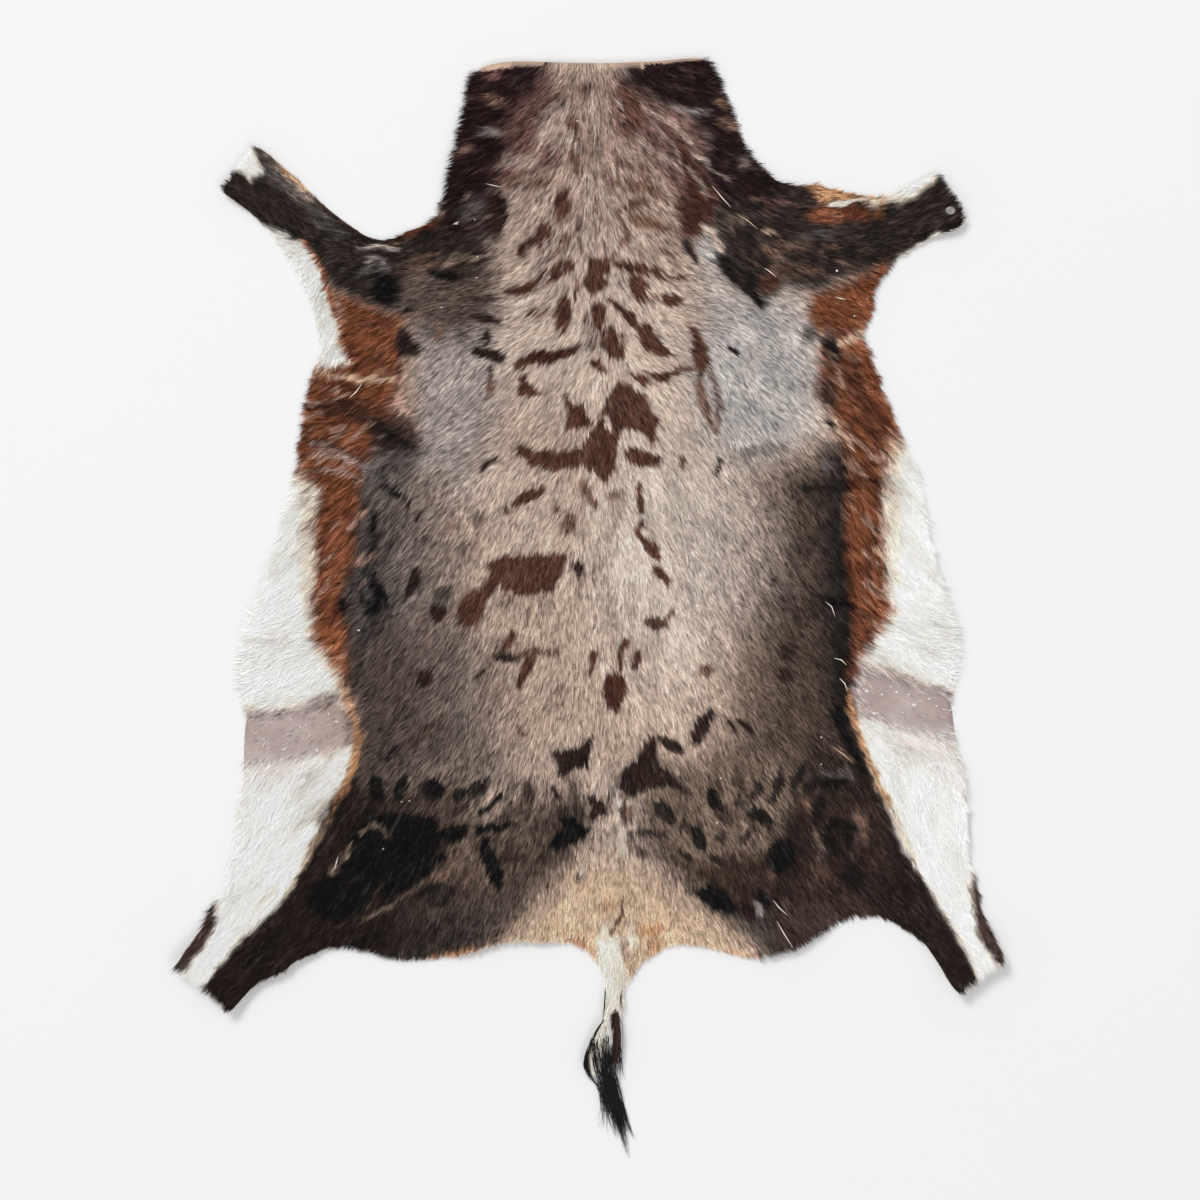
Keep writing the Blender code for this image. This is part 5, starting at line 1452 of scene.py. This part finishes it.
def coat_piece(name, hide, material, grains, roots, rng):
    count = len(roots)
    x, y = chart(roots)
    lie = hide.lie_at(x, y)
    bend = HAIR_BEND * grains["turn"].streaks(x, y, lie) + HAIR_OWN_BEND * rng.standard_normal(count)
    way = turned(lie, bend)
    length = hair_length(x, y) * MM * rng.uniform(*HAIR_LENGTHS, count)
    side = np.stack([way[:, 1], -way[:, 0]], axis=1)
    width = HAIR_WIDTH * rng.uniform(*HAIR_WIDTHS, count)
    width *= 1.0 + WIDTH_BY_LENGTH * (length / (BODY_LENGTH * MM) - 1.0)
    tip = roots + way * length[:, None]
    root_height = hide.top(roots) - ROOT_SINK + ROOT_SPREAD * rng.random(count)
    clump = grains["clump"].streaks(x, y, lie)
    lift = MEAN_LIFT + LIFT_SWING * clump + LIFT_SWING * rng.standard_normal(count)
    lift = HAIR_LIFT * np.clip(lift, *HAIR_LIFTS)
    tip_height = hide.top(tip) + lift
    tip_height -= hide.past_rim(tip) * (HAIR_SINK * lift + SKIN_SINK * SKIN_THICKNESS)
    tip_height = np.maximum(tip_height, LEAST_TIP)
    roll = rng.normal(0.0, HAIR_ROLL, count)
    out = side * (0.5 * width * np.cos(roll))[:, None]
    up = 0.5 * width * np.sin(roll)
    left = np.column_stack([roots - out, root_height - up])
    right = np.column_stack([roots + out, root_height + up])
    points = np.stack([left, right, np.column_stack([tip, tip_height])], axis=1)
    tones = hair_tone(*chart(roots + way * (HAIR_TONE_AT * length)[:, None]), lie, grains, rng)
    return hair_mesh(name, material, points, tones, SHORT_BLADE)


def long_blades(root, way, length, width, heights, bends):
    """Points of longer hairs: two at the root, two in the middle and one at the tip, with a bend."""
    side = np.stack([way[:, 1], -way[:, 0]], axis=1)
    middle = root + way * (0.5 * length)[:, None] + side * (0.5 * bends * length)[:, None]
    tip = root + way * length[:, None]
    low, mid, high = heights
    half = side * (0.5 * width)[:, None]
    flat = (root - half, root + half, middle - GUARD_MIDDLE * half, middle + GUARD_MIDDLE * half, tip)
    return np.stack([np.column_stack(row) for row in zip(flat, (low, low, mid, mid, high))], axis=1)


def long_hairs(hide, material, grains):
    """Guard hairs that lie on top of the coat, most of them along the rim, flanks and belly."""
    rng = np.random.default_rng(SEED + 2)
    roots = random_roots(hide, GUARD_DRAWN * LONG_HAIRS, rng)
    plain = hair_length(*chart(roots))
    at_rim = np.exp(-hide.depth.read(roots) / GUARD_RIM_REACH)
    in_long = np.clip((plain - BODY_LENGTH) / GUARD_LONG_SPAN, 0.0, 1.0)
    chance = GUARD_CHANCE + GUARD_AT_RIM * at_rim + GUARD_IN_LONG * in_long
    order = np.argsort(rng.random(len(roots)) / chance, kind="stable")[:LONG_HAIRS]
    roots, plain = roots[order], plain[order]
    x, y = chart(roots)
    count = len(roots)
    lie = hide.lie_at(x, y)
    bend = GUARD_BEND * grains["long turn"].streaks(x, y, lie) + GUARD_OWN_BEND * rng.standard_normal(count)
    way = turned(lie, bend)
    length = plain * MM * rng.uniform(*GUARD_LENGTHS, count)
    width = rng.uniform(*GUARD_WIDTHS, count)
    tip = roots + way * length[:, None]
    low, mid, high = [hide.top(places) for places in (roots, 0.5 * (roots + tip), tip)]
    past = hide.past_rim(tip)
    lift = HAIR_LIFT * rng.uniform(*GUARD_LIFTS, count)
    mid_lift, high_lift = [lift * (1 - sink * past) for sink in GUARD_SINKS]
    heights = (low, mid + mid_lift, high + high_lift - MM * past)
    heights = [np.maximum(height, GUARD_LEAST) for height in heights]
    points = long_blades(roots, way, length, width, heights, rng.uniform(-GUARD_CURVE, GUARD_CURVE, count))
    tones = hair_tone(*chart(roots + way * (GUARD_TONE_AT * length)[:, None]), lie, grains, rng)
    return hair_mesh("guard_hairs", material, points, tones, LONG_BLADE)


def ribbon(points, widths, height):
    """A narrow strip of triangles along places of the chart, lying at a height of its own."""
    places = to_frame(points[:, 0], points[:, 1])
    along = np.gradient(places, axis=0)
    along /= np.linalg.norm(along, axis=1)[:, None]
    across = np.stack([-along[:, 1], along[:, 0]], axis=1)
    half = 0.5 * widths[:, None] * MM
    left = np.column_stack([places + across * half, height])
    right = np.column_stack([places - across * half, height])
    corners = []
    for i in range(len(points) - 1):
        corners += [left[i], right[i], right[i + 1], left[i], right[i + 1], left[i + 1]]
    return np.array(corners)


def ribbon_piece(name, material, parts, tones):
    """One piece of strips of triangles, each strip in its own tone."""
    places = np.vstack(parts)
    piece = make_object(name, places, np.arange(len(places)).reshape(-1, 3), material)
    paint(piece, "tone", np.repeat(tones, [len(part) for part in parts], axis=0))
    return piece


def bright_hairs(hide, material):
    """Single pale hairs that catch the light."""
    parts = []
    for tone, points in BRIGHT_HAIRS:
        known = range(len(points))
        stops = np.linspace(0, len(points) - 1, BRIGHT_STOPS)
        curve = np.stack([np.interp(stops, known, axis) for axis in zip(*points)], axis=1)
        height = hide.top(to_frame(curve[:, 0], curve[:, 1])) + BRIGHT_LIFT * HAIR_LIFT
        parts.append(ribbon(curve, np.interp(stops, known, BRIGHT_WIDTHS), height))
    tones = [linear_colour(TONES[tone]) for tone, points in BRIGHT_HAIRS]
    return ribbon_piece("bright_hairs", material, parts, tones)


def flakes(hide, material):
    """Dry flakes of skin and lint: small uneven lumps that rest on the coat."""
    rng = np.random.default_rng(SEED + 3)
    bm = bmesh.new()
    for x, y, size in FLAKES:
        here = np.array([[x], [y]], dtype=float)
        place = to_frame(*here)
        bare = bareness(*here)[0]
        height = hide.top(place)[0] + (1 - bare) * HAIR_LIFT + FLAKE_RISE
        lump = bmesh.ops.create_icosphere(bm, subdivisions=2, radius=0.5 * size * MM)["verts"]
        stretch = (rng.uniform(*FLAKE_LENGTHS), rng.uniform(*FLAKE_WIDTHS), FLAKE_HEIGHT)
        for vert in lump:
            turns = [wave * part / (size * MM) for wave, part in zip(FLAKE_WAVES, vert.co)]
            push = math.sin(turns[0] + y) * math.cos(turns[1])
            shaped = Vector([part * scale for part, scale in zip(vert.co, stretch)])
            vert.co = shaped * (1 + FLAKE_PUSH * push) + Vector((*place[0], height))
    mesh = bpy.data.meshes.new("flakes")
    bm.to_mesh(mesh)
    bm.free()
    mesh.shade_smooth()
    mesh.materials.append(material)
    return linked("flakes", mesh)


def lock_hair(hide, stops, rng):
    """One hair of a lock: a curve through its root, middle and tip, as a ribbon."""
    share = np.linspace(0.0, 1.0, LOCK_STOPS)
    spread = np.clip(rng.normal(0.0, LOCK_SPREAD), -LOCK_WIDEST, LOCK_WIDEST)
    drift = rng.normal(0.0, LOCK_DRIFT, 3) * LOCK_DRIFTS
    places = stops[:, :2] + stops[:, 2:] * np.column_stack([spread + drift, rng.normal(0.0, LOCK_SLIP, 3)])
    begin = rng.uniform(*LOCK_BEGINS)
    end = rng.uniform(*LOCK_ENDS)
    along = (begin + (end - begin) * share)[:, None]
    first, middle, last = places
    bend = 2.0 * middle - 0.5 * (first + last)
    curve = (1 - along) ** 2 * first + 2 * along * (1 - along) * bend + along ** 2 * last
    curve[:, 1] = np.maximum(curve[:, 1], LOCK_END)
    points = to_frame(curve[:, 0], curve[:, 1])
    inside = np.clip(hide.depth.read(points) / TUFT_RISE_SPAN + TUFT_RISE_START, 0.0, 1.0)
    own_rise = rng.uniform(0.0, TUFT_OWN_RISE) * (1 - TUFT_OWN_FALL * share)
    height = hide.under.read(points) + TUFT_LEAST + TUFT_RISE * inside + own_rise
    return ribbon(curve, np.linspace(*LOCK_WIDTHS, LOCK_STOPS) * rng.uniform(*LOCK_WIDTH_SWING), height)


def tuft_hairs(hide, material):
    """The long hairs of the tail's end, lock by lock, drawn together to a point."""
    rng = np.random.default_rng(SEED + 4)
    parts = []
    tones = []
    for row in LOCKS:
        stops = np.array([row.root, row.middle, row.tip])
        for _ in range(row.hairs):
            parts.append(lock_hair(hide, stops, rng))
            tones.append(linear_colour(TONES[row.tone]) * np.exp(rng.normal(0.0, LOCK_TONE_SWING)))
    return ribbon_piece("tail_tuft_hairs", material, parts, tones)


def node(tree, kind, **values):
    made = tree.nodes.new(kind)
    for name, value in values.items():
        if name in made.inputs:
            made.inputs[name].default_value = value
        else:
            setattr(made, name, value)
    return made


def new_material(name, **values):
    """A material of one shader, with these values on it."""
    material = bpy.data.materials.new(name)
    material.use_nodes = True
    tree = material.node_tree
    tree.nodes.clear()
    shader = node(tree, "ShaderNodeBsdfPrincipled")
    for value_name, value in values.items():
        shader.inputs[value_name.replace("_", " ")].default_value = value
    output = node(tree, "ShaderNodeOutputMaterial")
    tree.links.new(shader.outputs["BSDF"], output.inputs["Surface"])
    return material, tree, shader


def attribute(tree, name):
    return node(tree, "ShaderNodeAttribute", attribute_name=name).outputs["Color"]


def noise(tree, **values):
    """A noise texture at the object's own places."""
    return placed(tree, node(tree, "ShaderNodeTexNoise", **values)).outputs["Fac"]


def placed(tree, texture):
    place = node(tree, "ShaderNodeTexCoord")
    tree.links.new(place.outputs["Object"], texture.inputs["Vector"])
    return texture


def mixed_colour(tree, factor, first, second, blend="MIX"):
    """Mixes two colours, each a socket or a plain colour."""
    made = node(tree, "ShaderNodeMix", data_type="RGBA", blend_type=blend)
    for socket, value in ((made.inputs[0], factor), (made.inputs[6], first), (made.inputs[7], second)):
        if isinstance(value, (int, float, tuple)):
            socket.default_value = value
        else:
            tree.links.new(value, socket)
    return made.outputs[2]


def range_of(tree, value, made, seen=NOISE_SPAN):
    """Stretches the part of a value that is seen to the part that is made of it."""
    stretch = node(tree, "ShaderNodeMapRange")
    tree.links.new(value, stretch.inputs["Value"])
    for name, number in zip(("From Min", "From Max", "To Min", "To Max"), (*seen, *made)):
        stretch.inputs[name].default_value = number
    return stretch.outputs["Result"]


def shaded(tree, colour, shade):
    """Multiplies a colour by a grey."""
    grey = node(tree, "ShaderNodeCombineColor")
    for channel in ("Red", "Green", "Blue"):
        tree.links.new(shade, grey.inputs[channel])
    return mixed_colour(tree, 1.0, colour, grey.outputs["Color"], "MULTIPLY")


def ramp(tree, value, dark_at, dark, light_at, light):
    """A colour that runs from dark to light along a value."""
    made = node(tree, "ShaderNodeValToRGB")
    for element, at, colour in zip(made.color_ramp.elements, (dark_at, light_at), (dark, light)):
        element.position = at
        element.color = (*colour, 1.0)
    tree.links.new(value, made.inputs["Fac"])
    return made.outputs["Color"]


def bump(tree, shader, height, strength, distance):
    made = node(tree, "ShaderNodeBump", Strength=strength, Distance=distance)
    tree.links.new(height, made.inputs["Height"])
    tree.links.new(made.outputs["Normal"], shader.inputs["Normal"])


def dress(tree, shader, colour, rough):
    """Gives the shader its colour and its roughness."""
    tree.links.new(colour, shader.inputs["Base Color"])
    tree.links.new(rough, shader.inputs["Roughness"])


def hair_material(name, roughness, coat_weight):
    """Hair: its own tone, shaded and roughened a little by a fine noise."""
    material, tree, shader = new_material(
        name, Coat_Weight=coat_weight, Coat_Roughness=0.45, Specular_IOR_Level=0.1)
    band = noise(tree, Scale=420.0, Detail=3.0, Roughness=0.6)
    colour = shaded(tree, attribute(tree, "tone"), range_of(tree, band, (0.9, 1.1)))
    dress(tree, shader, colour, range_of(tree, band, (roughness - ROUGH_SWING, roughness + ROUGH_SWING)))
    return material


def skin_material():
    """The hair side of the skin: the coat's ground tone, clouded and pored like bare skin."""
    material, tree, shader = new_material("skin_grain", Specular_IOR_Level=0.4)
    cloud = noise(tree, Scale=26.0, Detail=6.0, Roughness=0.6)
    fine = noise(tree, Scale=260.0, Detail=6.0, Roughness=0.7)
    pores = placed(tree, node(tree, "ShaderNodeTexVoronoi", Scale=620.0)).outputs["Distance"]
    clouds = ramp(tree, cloud, 0.32, (0.80, 0.74, 0.72), 0.68, (1.08, 1.06, 1.05))
    clouded = mixed_colour(tree, 1.0, attribute(tree, "tone"), clouds, "MULTIPLY")
    colour = shaded(tree, clouded, range_of(tree, pores, (0.82, 1.04), seen=(0.0, 0.5)))
    dress(tree, shader, colour, range_of(tree, fine, (0.46, 0.72)))
    heights = node(tree, "ShaderNodeMath", operation="ADD")
    tree.links.new(fine, heights.inputs[0])
    tree.links.new(pores, heights.inputs[1])
    bump(tree, shader, heights.outputs["Value"], strength=0.35, distance=0.0004)
    return material


def flesh_material():
    """The flesh side: pale suede with darker clouds, veins and nap."""
    material, tree, shader = new_material("flesh_suede", Sheen_Weight=0.25)
    cloud = noise(tree, Scale=9.0, Detail=8.0, Roughness=0.62, Distortion=0.6)
    nap = noise(tree, Scale=700.0, Detail=4.0, Roughness=0.7)
    wave = node(tree, "ShaderNodeTexWave", Scale=5.0, Distortion=14.0, Detail=4.0)
    vein = range_of(tree, placed(tree, wave).outputs["Fac"], (0.16, 0.0), seen=(0.0, 0.12))
    suede = ramp(tree, cloud, 0.28, (0.46, 0.33, 0.23), 0.72, (0.72, 0.60, 0.47))
    veined = mixed_colour(tree, vein, suede, (0.34, 0.21, 0.15, 1.0))
    colour = shaded(tree, veined, range_of(tree, nap, (0.9, 1.08)))
    dress(tree, shader, colour, range_of(tree, nap, (0.82, 0.98)))
    bump(tree, shader, nap, strength=0.5, distance=0.0005)
    return material


def flake_material():
    """Dry flakes: off-white, chalky, a little stained."""
    material, tree, shader = new_material("flake")
    stain = noise(tree, Scale=300.0, Detail=4.0)
    colour = mixed_colour(tree, stain, (0.86, 0.84, 0.80, 1.0), (0.62, 0.56, 0.50, 1.0))
    dress(tree, shader, colour, range_of(tree, stain, (0.6, 0.85)))
    return material


def floor_material():
    material, tree, shader = new_material("studio_floor", Roughness=0.9, Specular_IOR_Level=0.1)
    grain = noise(tree, Scale=3.0, Detail=2.0)
    colour = mixed_colour(tree, grain, (0.825, 0.825, 0.828, 1.0), (0.832, 0.832, 0.832, 1.0))
    tree.links.new(colour, shader.inputs["Base Color"])
    return material


def make_floor():
    bm = bmesh.new()
    bmesh.ops.create_grid(bm, x_segments=1, y_segments=1, size=FLOOR_SIZE)
    mesh = bpy.data.meshes.new("floor")
    bm.to_mesh(mesh)
    bm.free()
    mesh.materials.append(floor_material())
    floor = linked("floor", mesh)
    floor.location = (0.0, 0.0, -FLOOR_DROP)


def make_camera():
    data = bpy.data.cameras.new("camera")
    data.sensor_width = SENSOR_WIDTH
    data.lens = SENSOR_WIDTH * CAMERA_HEIGHT / PICTURE_WIDTH
    data.clip_end = CLIP_END
    camera = linked("camera", data)
    camera.location = (*PICTURE_CENTRE, CAMERA_HEIGHT)
    bpy.context.scene.camera = camera


def area_light(name, place, size, power):
    """A round light that shines at the middle of the frame."""
    data = bpy.data.lights.new(name, "AREA")
    data.shape = "DISK"
    data.size = size
    data.energy = power
    lamp = linked(name, data)
    lamp.location = place
    lamp.rotation_euler = (-Vector(place)).to_track_quat("-Z", "Y").to_euler()


def make_lights():
    world = bpy.data.worlds.new("studio")
    world.use_nodes = True
    background = world.node_tree.nodes["Background"]
    background.inputs["Color"].default_value = (1.0, 1.0, 1.0, 1.0)
    background.inputs["Strength"].default_value = WORLD_STRENGTH
    bpy.context.scene.world = world
    area_light("key", *KEY_LIGHT)
    area_light("fill", *FILL_LIGHT)
    view = bpy.context.scene.view_settings
    view.view_transform = "Standard"
    view.look = "None"
    view.exposure = 0.0
    view.gamma = 1.0


def main():
    make_camera()
    make_floor()
    make_lights()
    hide = Hide()
    grains = {name: Grain(*row) for name, row in GRAINS.items()}
    hair = hair_material("coat_hair", roughness=0.56, coat_weight=0.0)
    skin, area = skin_sheet(hide, skin_material(), flesh_material())
    coat = short_hairs(hide, hair, grains)
    coat.append(long_hairs(hide, hair, grains))
    coat.append(bright_hairs(hide, hair_material("bright_hair", roughness=0.5, coat_weight=0.0)))
    lint = flakes(hide, flake_material())
    tuft = tuft_hairs(hide, hair_material("tuft_hair", roughness=0.42, coat_weight=0.1))
    for piece in [skin, lint, tuft] + coat:
        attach(piece, "root")
    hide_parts("hide")
    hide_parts("tail_tuft")


main()
